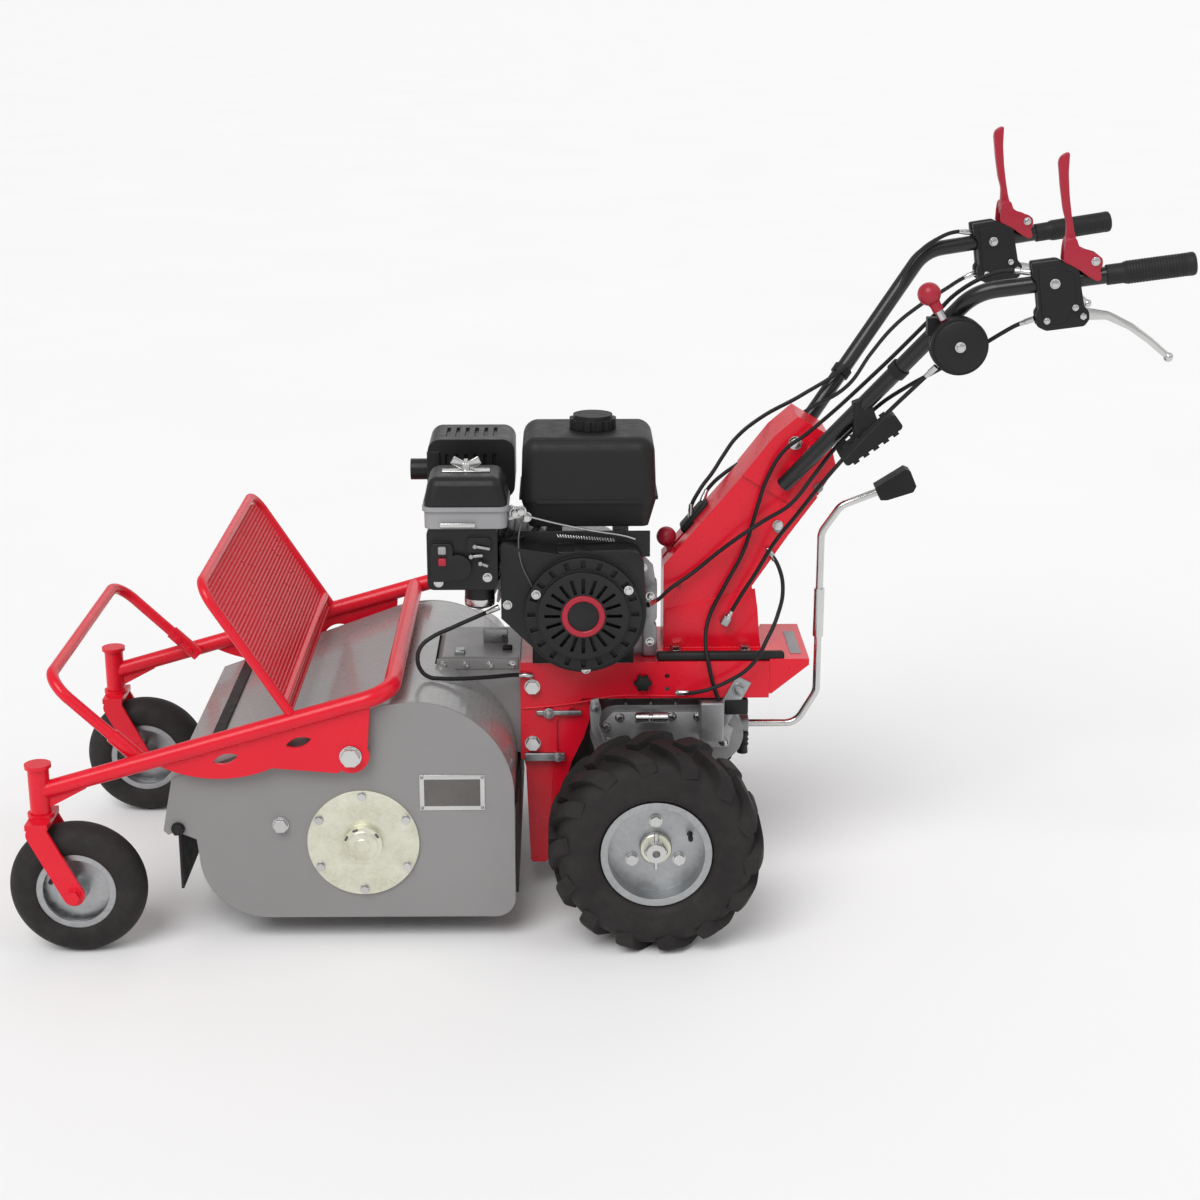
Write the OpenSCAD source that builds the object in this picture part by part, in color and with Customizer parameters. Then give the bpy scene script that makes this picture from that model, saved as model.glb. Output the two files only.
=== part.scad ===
// Walk-behind flail mower: two driven wheels, a front mounted flail deck carried on two castors,
// a petrol engine over the axle and a pair of high handlebars. The front is at -X, the left at -Y.

/* [Drive wheels] */
// Outside diameter of the drive tyre over its lugs
tyre_d = 330; // [310:1:350]
// Width of the drive tyre
tyre_w = 125; // [110:1:130]
// Distance from the middle plane to the middle of a drive tyre
wheel_y = 264; // [262:1:280]
// Diameter of the rim seat under the tyre bead
rim_d = 156; // [150:1:164]
// Number of lugs on each half of the tread
lug_count = 14; // [10:1:18]
// Height of a lug above the carcass
lug_h = 13; // [8:1:16]
// Diameter of the drive axle
axle_d = 30; // [24:1:34]
// Diameter of the hole in the end of each drive axle
axle_bore_d = 12; // [8:1:14]
// Depth of the hole in the end of each drive axle
axle_bore_l = 20; // [15:1:35]

/* [Castors] */
// Outside diameter of a castor tyre
castor_d = 210; // [200:1:220]
// Width of a castor tyre
castor_w = 58; // [50:1:62]
// Diameter of the castor rim seat
castor_rim_d = 122; // [110:1:130]
// Distance from the middle plane to a castor
castor_y = 282; // [282:1:295]
// Distance from the castor's swivel axis back to its wheel axle
castor_trail = 49; // [40:1:55]
// Diameter of the castor axle bolt
castor_axle_d = 12; // [10:1:14]
// Diameter of the castor's swivel stem
stem_d = 20; // [16:1:22]

/* [Castor frame] */
// Outside diameter of the castor frame tube
frame_tube_d = 27; // [25:1:28]
// Outside diameter of the castor head tube
head_d = 32; // [30:1:36]
// Outside diameter of the front hoop tube
hoop_d = 18; // [16:1:20]
// Outside diameter of the guard's frame tube
guard_d = 15; // [13:1:16]
// Rows of holes in the guard mesh
mesh_rows = 12; // [8:1:12]
// Holes in each row of the guard mesh
mesh_columns = 24; // [16:1:25]

/* [Deck] */
// Distance from the middle plane to the outer face of a deck side plate
deck_y = 266; // [262:1:267]
// Thickness of a deck side plate
plate_t = 5; // [4:0.5:8]
// Thickness of the hood sheet
hood_t = 3; // [2:0.5:5]
// Outside diameter of the rotor tube
rotor_d = 90; // [76:1:96]
// Distance from the rotor axis to the flail pins
pin_r = 68; // [66:1:72]
// Diameter of a flail pin
pin_d = 12; // [10:1:14]
// Length of a flail from its pin to its tip
flail_l = 50; // [44:1:52]
// Number of flails on each pin
flail_count = 9; // [6:1:10]
// Diameter of the rotor's stub shafts
stub_d = 30; // [24:1:34]

/* [Chassis and controls] */
// Distance from the middle plane to the outer face of a chassis cheek
cheek_y = 92; // [90:1:105]
// Thickness of the chassis and post sheet
sheet_t = 5; // [4:0.5:6]
// Distance from the middle plane to the outer face of the post
post_y = 46; // [42:1:50]
// Outside diameter of the handlebar tube
bar_d = 25; // [22:1:26]
// Distance from the middle plane to the straight end of a handlebar
bar_y = 250; // [240:1:260]
// Outside diameter of a hand grip
grip_d = 37; // [34:1:40]
// Length of a hand grip
grip_l = 128; // [115:1:140]
// Diameter of the gear rod
gear_rod_d = 12; // [10:1:14]
// Outside diameter of a control cable
cable_d = 7; // [6:0.5:8]

/* [Engine] */
// Radius of the fan shroud round the recoil starter
shroud_r = 98; // [92:1:100]
// Number of slots round the recoil starter
slot_count = 20; // [12:1:24]
// Number of cooling fins on the cylinder
fin_count = 9; // [6:1:10]

/* [Hidden] */
$fn = 64;
// Distance from the middle of the whole mower to the drive axle
axle_x = 108.8;
run_gap = 0.05;
side_gap = 0.5;
seat_gap = 0.2;
left = -1;
right = 1;
axle_z = tyre_d / 2;

RED = [0.80, 0.06, 0.12];
CRIMSON = [0.66, 0.12, 0.22];
GREY = [0.55, 0.55, 0.56];
BLACK = [0.08, 0.08, 0.09];
STEEL = [0.75, 0.75, 0.73];
ZINC = [0.80, 0.78, 0.70];
ALLOY = [0.68, 0.69, 0.70];

module placed() { translate([axle_x, 0, 0]) children(); }

// Turns a shape drawn along +Z so that it points away from the middle plane
module outward(side) { rotate([-90 * side, 0, 0]) children(); }

// Extrudes a side profile, drawn in X and Z, from y0 to y1
module slab(y0, y1) { translate([0, y1, 0]) rotate([90, 0, 0]) linear_extrude(y1 - y0) children(); }

// Round bar between two points
module rod(a, b, d) {
    v = b - a;
    l = norm(v);
    translate(a) rotate([0, acos(v[2] / l), atan2(v[1], v[0])]) cylinder(h = l, d = d);
}

function unit(v) = v / norm(v);
function turn(p, i) = acos(unit(p[i] - p[i - 1]) * unit(p[i + 1] - p[i]));
function cut(p, i, r) = i == 0 || i == len(p) - 1 ? 0 : r * tan(turn(p, i) / 2);

// Elbow of a bent tube at corner i of a route
module elbow(p, i, r, d) {
    u = unit(p[i] - p[i - 1]);
    v = unit(p[i + 1] - p[i]);
    n = unit(v - u * (u * v));
    w = cross(u, n);
    c = p[i] - u * cut(p, i, r) + n * r;
    multmatrix([[-n[0], u[0], w[0], c[0]], [-n[1], u[1], w[1], c[1]], [-n[2], u[2], w[2], c[2]],
        [0, 0, 0, 1]])
        rotate_extrude(angle = turn(p, i)) translate([r, 0]) circle(d = d);
}

// Tube or rod bent to one radius along a route of points, its bends a touch fuller than its straights
module bent_rod(p, r, d) {
    fuller = 0.2;
    lap = 1;
    last = len(p) - 2;
    for (i = [0 : last]) {
        u = unit(p[i + 1] - p[i]);
        from = cut(p, i, r) - (i == 0 ? 0 : lap);
        to = cut(p, i + 1, r) - (i == last ? 0 : lap);
        rod(p[i] + u * from, p[i + 1] - u * to, d);
    }
    for (i = [1 : last]) elbow(p, i, r, d + fuller);
}

// Side profile of a flat bar with round ends
link_step = 0.06;
module link2d(a, b, w) {
    v = b - a;
    side = w - link_step;
    translate(a) rotate(atan2(v[1], v[0])) translate([0, -side / 2]) square([norm(v), side]);
    translate(a) circle(d = w);
    translate(b) circle(d = w);
}

// Smooth curve through hand-set points, and a tube swept along it
function spline(p, i, t) =
    let (a = p[max(i - 1, 0)], b = p[i], c = p[i + 1], d = p[min(i + 2, len(p) - 1)])
    0.5 * (2 * b + (c - a) * t + (2 * a - 5 * b + 4 * c - d) * t * t + (3 * b - a - 3 * c + d) * t * t * t);
function route(p, steps) =
    concat([for (i = [0 : len(p) - 2], k = [0 : steps - 1]) spline(p, i, k / steps)], [p[len(p) - 1]]);
function heading(q, i) = unit(q[min(i + 1, len(q) - 1)] - q[max(i - 1, 0)]);
function ring(q, i, r, sides) =
    let (u = heading(q, i), a = unit(cross(u, [0.31, 0.95, 0.02])), b = cross(u, a))
    [for (k = [0 : sides - 1]) q[i] + r * (a * cos(360 * k / sides) + b * sin(360 * k / sides))];
module sweep(p, d, steps = 3, sides = 6) {
    q = route(p, steps);
    n = len(q);
    points = [for (i = [0 : n - 1]) each ring(q, i, d / 2, sides)];
    faces = concat(
        [for (i = [0 : n - 2], k = [0 : sides - 1]) let (m = (k + 1) % sides)
            each [[i * sides + k, (i + 1) * sides + k, (i + 1) * sides + m],
                  [i * sides + k, (i + 1) * sides + m, i * sides + m]]],
        [[for (k = [0 : sides - 1]) k]],
        [[for (k = [sides - 1 : -1 : 0]) (n - 1) * sides + k]]);
    polyhedron(points, faces, convexity = 6);
}

// Hexagon bolt head with its washer, standing up along +Z
module bolt_head(d) {
    cylinder(h = d * 0.2, d = d * 2.1);
    translate([0, 0, d * 0.2]) cylinder(h = d * 0.65, d = d * 1.85, $fn = 6);
}

// Drive wheel sizes
carcass_r = tyre_d / 2 - lug_h;
tyre_wall = 9;
bead_r = rim_d / 2 + seat_gap;
rim_half = tyre_w / 2 - 12;
rim_lip = 7;
lip_clear = 1;
shoulder_r = min(26, (carcass_r - bead_r - rim_lip - lip_clear) / 2);
rim_t = 4;
web_at = 16;
hub_r = 24;
hub_flange_r = 54;
wheel_bolt_pcd = 84;

module tyre_section(grow) {
    w = tyre_w / 2 + grow;
    r = carcass_r + grow;
    s = shoulder_r + grow;
    square_r = r - s;
    translate([bead_r, -w + 14]) square([r - bead_r - s, 2 * w - 28]);
    translate([bead_r + 22, -w]) square([square_r - bead_r - 22, 2 * w]);
    translate([square_r, -w + s]) square([s, 2 * w - 2 * s]);
    for (m = [-1, 1]) translate([square_r, m * (w - s)]) circle(r = s);
    for (m = [-1, 1]) translate([bead_r + 22, m * (w - 14)]) circle(r = 14);
}

module tread_bars() {
    lug_w = 21;
    lug_run = tyre_w * 0.72;
    for (m = [-1, 1], k = [0 : lug_count - 1]) {
        rotate(360 * (k + (m > 0 ? 0.5 : 0)) / lug_count)
            translate([carcass_r - shoulder_r, 0, 0]) rotate([m * 38, 0, 0])
                translate([0, -lug_w / 2, m > 0 ? -2 : -lug_run])
                    cube([shoulder_r + lug_h + 8, lug_w, lug_run + 2]);
    }
}

module drive_tyre(side) {
    color(BLACK) placed() translate([0, side * wheel_y, axle_z]) outward(side) difference() {
        union() {
            rotate_extrude() tyre_section(0);
            intersection() {
                tread_bars();
                rotate_extrude() tyre_section(lug_h);
                translate([0, 0, -tyre_w / 2]) cylinder(h = tyre_w, r = tyre_d / 2);
            }
        }
        rotate_extrude() intersection() {
            translate([-tyre_wall, 0]) tyre_section(-tyre_wall);
            translate([bead_r + 16, -tyre_w / 2]) square([tyre_d, tyre_w]);
        }
        translate([0, 0, -tyre_w]) cylinder(h = 2 * tyre_w, r = bead_r);
    }
}

module drive_rim(side) {
    color(STEEL) placed() translate([0, side * wheel_y, axle_z]) outward(side) difference() {
        rotate_extrude() {
            translate([rim_d / 2 - rim_t, -rim_half]) square([rim_t, 2 * rim_half]);
            for (m = [-1, 1]) translate([rim_d / 2 - rim_t, m * (rim_half + 2) - 2])
                square([rim_t + rim_lip, 4]);
            translate([hub_r + seat_gap, web_at]) square([rim_d / 2 - rim_t - hub_r, rim_t]);
        }
        for (k = [0 : 2]) rotate(120 * k + 90) translate([wheel_bolt_pcd / 2, 0, 0])
            cylinder(h = tyre_w, d = 11);
        rotate(20) translate([rim_d / 2 - 22, 0, 0]) cylinder(h = tyre_w, d = 9);
    }
}

// Half axle with its wheel hub, wheel bolts and the hole in its end
axle_in = 88;
axle_end = rim_half + 2;
module drive_axle(side) {
    color(STEEL) placed() translate([0, side * wheel_y, axle_z]) outward(side) difference() {
        union() {
            translate([0, 0, axle_in - wheel_y]) cylinder(h = wheel_y - axle_in + axle_end, d = axle_d);
            translate([0, 0, -30]) cylinder(h = web_at + 30 + 14, r = hub_r);
            translate([0, 0, web_at - 8 - seat_gap]) cylinder(h = 8, r = hub_flange_r);
            for (k = [0 : 2]) rotate(120 * k + 90) translate([wheel_bolt_pcd / 2, 0, 0]) {
                translate([0, 0, web_at - 6]) cylinder(h = rim_t + 8, d = 10);
                translate([0, 0, web_at + rim_t + seat_gap]) bolt_head(10);
            }
            translate([0, 0, web_at + 24]) rotate([90, 0, 0]) translate([0, 0, -hub_r - 5])
                cylinder(h = 2 * hub_r + 10, d = 7);
        }
        translate([0, 0, axle_end - axle_bore_l]) cylinder(h = axle_bore_l + 1, d = axle_bore_d);
    }
}

// Castor sizes
castor_x = -886;
stem_x = castor_x - castor_trail;
leg_t = 6;
leg_w = 33;
leg_in = castor_w / 2 + 5;
crown_z = castor_d + 2;
crown_t = 9;
crown_half = 17;
head_gap = 0.3;
collar_t = 6;
head_z = crown_z + crown_t + collar_t + head_gap;
head_h = 72;

module castor_tyre(side) {
    section_r = castor_w / 2;
    color(BLACK) placed() translate([castor_x, side * castor_y, castor_d / 2]) outward(side)
        rotate_extrude() difference() {
        union() {
            translate([castor_d / 2 - section_r, 0]) circle(r = section_r);
            translate([castor_rim_d / 2 + seat_gap, -section_r * 0.8])
                square([castor_d / 2 - section_r - castor_rim_d / 2 - seat_gap, section_r * 1.6]);
        }
        translate([0, -castor_w]) square([castor_rim_d / 2 + seat_gap, 2 * castor_w]);
    }
}

module castor_rim(side) {
    seat = castor_rim_d / 2;
    half = castor_w / 2 - 6;
    hub = castor_axle_d / 2 + run_gap;
    color(STEEL) placed() translate([castor_x, side * castor_y, castor_d / 2]) outward(side)
        rotate_extrude() {
        translate([seat - 4, -half]) square([4, 2 * half]);
        for (m = [-1, 1]) translate([seat - 10, m * (half - 2) - 2]) square([10, 4]);
        translate([hub + 6, 3]) square([seat - hub - 8, 4]);
        translate([hub, -leg_in + side_gap]) square([12, 2 * leg_in - 2 * side_gap]);
    }
}

// Fork with its stem, collars and axle bolt, fixed together
module castor_fork(side) {
    wheel_z = castor_d / 2;
    color(RED) placed() translate([0, side * castor_y, 0]) {
        for (m = [-1, 1]) slab(m > 0 ? leg_in : -leg_in - leg_t, m > 0 ? leg_in + leg_t : -leg_in)
            difference() {
                link2d([stem_x, crown_z + crown_t - leg_w / 2], [castor_x, wheel_z], leg_w);
                translate([stem_x - 100, crown_z + crown_t]) square([200, 100]);
            }
        translate([stem_x - crown_half, -leg_in - leg_t, crown_z])
            cube([2 * crown_half, 2 * leg_in + 2 * leg_t, crown_t]);
        translate([stem_x, 0, crown_z + crown_t]) cylinder(h = collar_t, d = head_d + 9);
        translate([stem_x, 0, crown_z]) cylinder(h = head_z + head_h - crown_z + collar_t, d = stem_d);
        translate([stem_x, 0, head_z + head_h + head_gap]) cylinder(h = collar_t, d = head_d + 8);
        translate([castor_x, -leg_in - leg_t - 8, wheel_z]) rotate([-90, 0, 0])
            cylinder(h = 2 * (leg_in + leg_t + 8), d = castor_axle_d);
        for (m = [-1, 1]) translate([castor_x, m * (leg_in + leg_t), wheel_z]) outward(m)
            bolt_head(castor_axle_d);
    }
}

// Castor frame: a tube on each side, the left one bent across at the rear
frame_rise = 2.7;
frame_a = [-916, head_z + head_h / 2 + frame_rise];
frame_b = [-400, 415];
frame_slope = (frame_b[1] - frame_a[1]) / (frame_b[0] - frame_a[0]);
function frame_z(x) = frame_a[1] + (x - frame_a[0]) * frame_slope;
frame_bend = 45;
far_end_x = -372;
pivot = [-462, 316];
pivot_d = 16;
gusset_t = 6;

// Plate welded under the tube, with two cut-outs and a round end at the pivot
module gusset2d() {
    difference() {
        union() {
            intersection() {
                translate([-662, 480]) circle(r = 200, $fn = 128);
                polygon([[-760, frame_z(-760)], [-760, 270], [-570, 270], [-570, frame_z(-570)]]);
            }
            polygon([[-585, 297], pivot - [20, 28], [-436, 330], [-430, frame_z(-430)],
                [-585, frame_z(-585)]]);
            translate(pivot) circle(r = 28);
        }
        for (c = [[-651, 312], [-540, 338]]) translate(c) rotate(atan(frame_slope)) intersection() {
            translate([0, -22]) circle(r = 30);
            translate([0, 22]) circle(r = 30);
        }
        translate(pivot) circle(d = pivot_d + 2 * run_gap);
    }
}

module frame_head() {
    translate([stem_x, 0, head_z]) cylinder(h = head_h, d = head_d);
}

module head_bore() {
    translate([stem_x, 0, head_z - 1]) cylinder(h = head_h + 2, d = stem_d + 2 * run_gap);
}

module frame_side() {
    frame_head();
    slab(-gusset_t / 2, gusset_t / 2) gusset2d();
    slab(-4, 4) link2d([stem_x + 10, head_z + 14], [-868, frame_z(-868) - 8], 14);
}

module frame_tube_left() {
    y = -castor_y;
    reach = castor_y - 4;
    color(RED) placed() difference() {
        union() {
            translate([0, y, 0]) frame_side();
            bent_rod([[stem_x, y, frame_z(stem_x)], [frame_b[0], y, frame_b[1]],
                [frame_b[0], reach, frame_b[1]]],
                frame_bend, frame_tube_d);
        }
        translate([0, y, 0]) head_bore();
        rod([frame_a[0], castor_y, frame_a[1]], [far_end_x, castor_y, frame_z(far_end_x)],
            frame_tube_d + 0.2);
    }
}

module frame_tube_right() {
    y = castor_y;
    color(RED) placed() difference() {
        union() {
            translate([0, y, 0]) frame_side();
            rod([stem_x, y, frame_z(stem_x)], [far_end_x, y, frame_z(far_end_x)], frame_tube_d);
        }
        translate([0, y, 0]) head_bore();
    }
}

// Front hoop, its lower ends thickened into sleeves beside the tubes
hoop_drop = 7;
hoop_foot = [-781, frame_z(-781) - hoop_drop];
hoop_top = hoop_foot + [-136, 132];
sleeve_d = hoop_d + 5;
hoop_y = castor_y - frame_tube_d / 2 - sleeve_d / 2 - 0.3;
hoop_bend = 42;
module front_hoop() {
    foot = hoop_foot;
    up = unit(hoop_top - hoop_foot);
    color(RED) placed() {
        bent_rod([for (p = [[foot, -1], [hoop_top, -1], [hoop_top, 1], [foot, 1]])
            [p[0][0], p[1] * hoop_y, p[0][1]]],
            hoop_bend, hoop_d);
        for (m = [-1, 1]) rod([foot[0], m * hoop_y, foot[1]],
            [foot[0] + 62 * up[0], m * hoop_y, foot[1] + 62 * up[1]], sleeve_d);
        for (m = [-1, 1], s = [18, 44])
            translate([foot[0] + s * up[0], m * (hoop_y - sleeve_d / 2 + 1), foot[1] + s * up[1]])
                outward(-m) cylinder(h = 4, d = 10);
    }
}

// Sloping guard: a bent tube frame standing on the castor frame, filled with mesh
guard_foot = [-544, frame_z(-544)];
guard_top = [-677, 583];
guard_up = unit(guard_top - guard_foot);
guard_l = norm(guard_top - guard_foot);
guard_bend = 36;
guard_low = frame_tube_d / 2 + 16;
mesh_t = 2;
function guard_at(s, y) = [guard_foot[0] + s * guard_up[0], y, guard_foot[1] + s * guard_up[1]];

module guard_frame() {
    color(RED) placed() difference() {
        union() {
            bent_rod([guard_at(0, -castor_y), guard_at(guard_l, -castor_y), guard_at(guard_l, castor_y),
                guard_at(0, castor_y)],
                guard_bend, guard_d);
            rod(guard_at(guard_low, -castor_y), guard_at(guard_low, castor_y), guard_d);
        }
        for (m = [-1, 1]) rod([frame_a[0], m * castor_y, frame_a[1]],
            [far_end_x, m * castor_y, frame_z(far_end_x)], frame_tube_d + 0.2);
    }
}

// Outline of the sheet inside the guard's tubes, corners cut to the bends
module mesh_outline(w, h) {
    corner = guard_bend - guard_d / 2;
    difference() {
        translate([-w / 2, 0]) square([w, h]);
        for (m = [-1, 1]) translate([m * w / 2, h]) difference() {
            square(2 * corner, center = true);
            translate([-m * corner, -corner]) circle(r = corner);
        }
    }
}

module guard_mesh() {
    w = 2 * castor_y - guard_d - 2 * seat_gap;
    h = guard_l - guard_low - guard_d - 2 * seat_gap;
    margin = 12;
    pitch_u = (w - 2 * margin) / (mesh_columns + 0.5);
    pitch_v = (h - 2 * margin) / mesh_rows;
    p = guard_at(guard_low + guard_d / 2 + seat_gap, 0);
    color(RED) placed() multmatrix([[0, guard_up[0], guard_up[1], p[0]], [1, 0, 0, 0],
        [0, guard_up[1], -guard_up[0], p[2]], [0, 0, 0, 1]])
        translate([0, 0, -mesh_t / 2]) linear_extrude(mesh_t) difference() {
            mesh_outline(w, h);
            for (i = [0 : mesh_rows - 1], k = [0 : mesh_columns - 1])
                translate([margin - w / 2 + (k + (i % 2) / 2) * pitch_u + 3, margin + i * pitch_v + 2.5])
                    square([pitch_u - 6, pitch_v - 5]);
        }
}

// Deck: two side plates, the hood between them, the rotor and its covers
rotor_x = -449;
rotor_z = 167;
hood_c = [-369, 241];
hood_r = 153;
hood_lip = [-738, 273];
hood_knee = [-413, 390];
hood_rear_z = 214;
// Turned-in lip along the hood's front edge
lip_h = 34;
lip_in = 22;
hood_steps = 20;
flap_rod = [-732, 192];
flap_rod_d = 10;
bearing_hole_r = 62;
jack = [-300, 300];
jack_d = 24;
jack_tube_d = 50;

// Side plate: arcs over the rear and round the front, a straight foot and an ear for the flap
module side_plate2d(jack_hole) {
    difference() {
        union() {
            translate(hood_c) circle(r = hood_r, $fn = 128);
            translate([-598, 145]) circle(r = 104, $fn = 128);
            translate([-246, 70]) circle(r = 30);
            polygon([[-598, 41], [-246, 40], [-216, 70], [-216, hood_c[1]], hood_c + [0, hood_r],
                hood_knee, hood_lip,
                [-755, 188], [-748, 181], [-735, 186], [-705, 173], [-702, 145]]);
        }
        translate([rotor_x, rotor_z]) circle(r = bearing_hole_r);
        translate(flap_rod) circle(d = flap_rod_d + 2 * run_gap);
        if (jack_hole) translate(jack) circle(d = jack_tube_d + 2 * seat_gap);
    }
}

module side_plate_left() { color(GREY) placed() slab(-deck_y, -deck_y + plate_t) side_plate2d(false); }
module side_plate_right() { color(GREY) placed() slab(deck_y - plate_t, deck_y) side_plate2d(true); }

// Bent sheet: a path of corner points with the sheet's thickness on its right-hand side
function side_normal(a, b) = [unit(b - a)[1], -unit(b - a)[0]];
function mitre(p, i) =
    let (n0 = side_normal(p[max(i - 1, 0)], p[max(i, 1)]), last = len(p) - 1,
         n1 = side_normal(p[min(i, last - 1)], p[min(i + 1, last)]))
    (n0 + n1) / (1 + n0 * n1);
module bent_sheet(p, t) {
    last = len(p) - 1;
    polygon(concat(p, [for (i = [last : -1 : 0]) p[i] + t * mitre(p, i)]));
}

neck_y = 78;
neck_front = -345;
neck_rear = -209;
neck_top = 404;
module hood() {
    half = deck_y - plate_t;
    path = concat([hood_lip + [lip_in, -lip_h], hood_lip + [0, -lip_h], hood_lip, hood_knee],
        [for (k = [0 : hood_steps]) hood_c + hood_r * [sin(90 * k / hood_steps), cos(90 * k / hood_steps)]],
        [[hood_c[0] + hood_r, hood_rear_z]]);
    color(GREY) placed() difference() {
        slab(-half, half) bent_sheet(path, hood_t);
        translate([neck_front - seat_gap, -neck_y - seat_gap, hood_rear_z - hood_r])
            cube([neck_rear - neck_front + 2 * seat_gap, 2 * neck_y + 2 * seat_gap, 3 * hood_r]);
    }
}

// Neck housing on the hood, bolted to the chassis, with the cross shaft's bearing tube
module drive_neck() {
    tube_y0 = neck_y - 10;
    color(GREY) placed() difference() {
        union() {
            slab(-neck_y, neck_y) {
                polygon([[neck_front, hood_c[1] + hood_r - 12], [neck_front + 12, neck_top],
                    [neck_rear, neck_top],
                    [neck_rear, 240], jack + [20, -40]]);
                translate(jack) circle(r = 46);
            }
            translate([jack[0], tube_y0, jack[1]]) rotate([-90, 0, 0])
                cylinder(h = deck_y - tube_y0, d = jack_tube_d);
        }
        translate([jack[0], -neck_y + 20, jack[1]]) rotate([-90, 0, 0])
            cylinder(h = 600, d = jack_d + 2 * run_gap);
    }
}

// Bearing covers: a flanged disc on each side plate with the rotor bearing in its boss
cover_r = 86;
cover_t = 4;
boss_d = 61;
boss_h = 12;
spigot_h = plate_t + 4;
module bearing_covers() {
    color(ZINC) placed() for (m = [left, right]) translate([rotor_x, m * deck_y, rotor_z]) outward(m)
        difference() {
        union() {
            cylinder(h = cover_t, r = cover_r);
            cylinder(h = cover_t + boss_h, d = boss_d);
            translate([0, 0, -spigot_h]) cylinder(h = spigot_h + 1, r = bearing_hole_r - seat_gap);
        }
        translate([0, 0, -spigot_h - 1])
            cylinder(h = spigot_h + 1 + (m == left ? cover_t + boss_h - 3 : 99), d = stub_d + 2 * run_gap);
        for (k = [0 : 5]) rotate(60 * k + 30) translate([cover_r - 9, 0, -1])
            cylinder(h = cover_t + 2, d = 8);
    }
}

// Belt drive on the right side: cross shaft pulley above, rotor pulley below
belt_w = 17;
belt_y = deck_y + cover_t + boss_h + belt_w / 2 + 3 + side_gap;
rotor_pulley_r = 62;
jack_pulley_r = 46;
belt_t = 9;
rotor_end_y = belt_y + belt_w / 2 + 6;

module pulley(r, bore) {
    w = belt_w + 6;
    rotate_extrude() difference() {
        translate([bore, -w / 2]) square([r + 5 - bore, w]);
        polygon([[r - belt_t - 1, -belt_w / 2 + 3.4], [r + 6, -belt_w / 2 - 1.4],
            [r + 6, belt_w / 2 + 1.4], [r - belt_t - 1, belt_w / 2 - 3.4]]);
    }
}

// Outline of a belt round the two pulleys, out to a given distance beyond their pitch line
module belt2d(grow) {
    hull() {
        translate([rotor_x, rotor_z]) circle(r = rotor_pulley_r + grow);
        translate(jack) circle(r = jack_pulley_r + grow);
    }
}

module drive_belt() {
    color(BLACK) placed() slab(belt_y - belt_w / 2 + 3.5, belt_y + belt_w / 2 - 3.5) difference() {
        belt2d(0);
        belt2d(-belt_t + 1);
    }
}

belt_cover_end = rotor_end_y + 6;
module belt_cover() {
    color(GREY) placed() difference() {
        slab(deck_y, belt_cover_end) belt2d(16);
        slab(deck_y - 1, belt_cover_end - 3) belt2d(13);
        slab(deck_y - 1, deck_y + cover_t + 8) translate([rotor_x, rotor_z]) circle(r = cover_r + 1);
    }
}

module jackshaft() {
    color(STEEL) placed() translate([jack[0], 0, jack[1]]) {
        translate([0, -neck_y + 24, 0]) rotate([-90, 0, 0])
            cylinder(h = rotor_end_y + neck_y - 24, d = jack_d);
        translate([0, belt_y, 0]) rotate([-90, 0, 0]) pulley(jack_pulley_r, jack_d / 2 - 1);
    }
}

// Rotor: tube, stub shafts, pulley, lugs and two flail pins
rotor_half = deck_y - spigot_h - 4;
flail_pitch = (2 * rotor_half - 24) / flail_count;
flail_w = flail_pitch - 17;
function flail_y(k) = -rotor_half + 12 + (k + 0.5) * flail_pitch;
module rotor() {
    color(STEEL) placed() translate([rotor_x, 0, rotor_z]) {
        translate([0, -rotor_half, 0]) rotate([-90, 0, 0]) cylinder(h = 2 * rotor_half, d = rotor_d);
        translate([0, -deck_y - cover_t - boss_h + 4, 0]) rotate([-90, 0, 0])
            cylinder(h = deck_y + cover_t + boss_h - 4 + rotor_end_y, d = stub_d);
        translate([0, belt_y, 0]) rotate([-90, 0, 0]) pulley(rotor_pulley_r, stub_d / 2 - 1);
        for (m = [-1, 1], k = [0 : flail_count]) translate([0, flail_y(k) - flail_pitch / 2, 0])
            slab(-3, 3) difference() {
                link2d([m * (rotor_d / 2 - 12), 0], [m * pin_r, 0], 26);
                circle(r = rotor_d / 2 - 4);
            }
        for (m = [-1, 1]) translate([m * pin_r, -rotor_half + 4, 0]) rotate([-90, 0, 0])
            cylinder(h = 2 * rotor_half - 8, d = pin_d);
    }
}

// One row of hammer flails hanging on its pin
module flail_row(m) {
    eye = pin_d / 2 + 0.4;
    color(STEEL) placed() translate([rotor_x + m * pin_r, 0, rotor_z]) for (k = [0 : flail_count - 1])
        slab(flail_y(k) - flail_w / 2, flail_y(k) + flail_w / 2) difference() {
            union() {
                circle(r = eye + 5);
                translate([-5, -flail_l]) square([10, flail_l]);
                polygon([[-5, 16 - flail_l], [m * 12, 8 - flail_l], [m * 12, -flail_l], [-5, -flail_l]]);
            }
            circle(r = eye);
        }
}

// Steel flap hanging in front of the deck on a rod that turns in the side plates
flap_t = 4;
flap_bottom = 88;
module front_flap() {
    half = deck_y - plate_t - 2;
    color(BLACK) placed() {
        translate([flap_rod[0], -deck_y - 12, flap_rod[1]]) rotate([-90, 0, 0])
            cylinder(h = 2 * deck_y + 24, d = flap_rod_d);
        slab(-half, half) translate([flap_rod[0] - flap_t / 2, flap_bottom])
            square([flap_t, flap_rod[1] - flap_bottom]);
        for (m = [-1, 1]) translate([flap_rod[0], m * (deck_y + 2), flap_rod[1]]) outward(m)
            bolt_head(flap_rod_d);
    }
}

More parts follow.
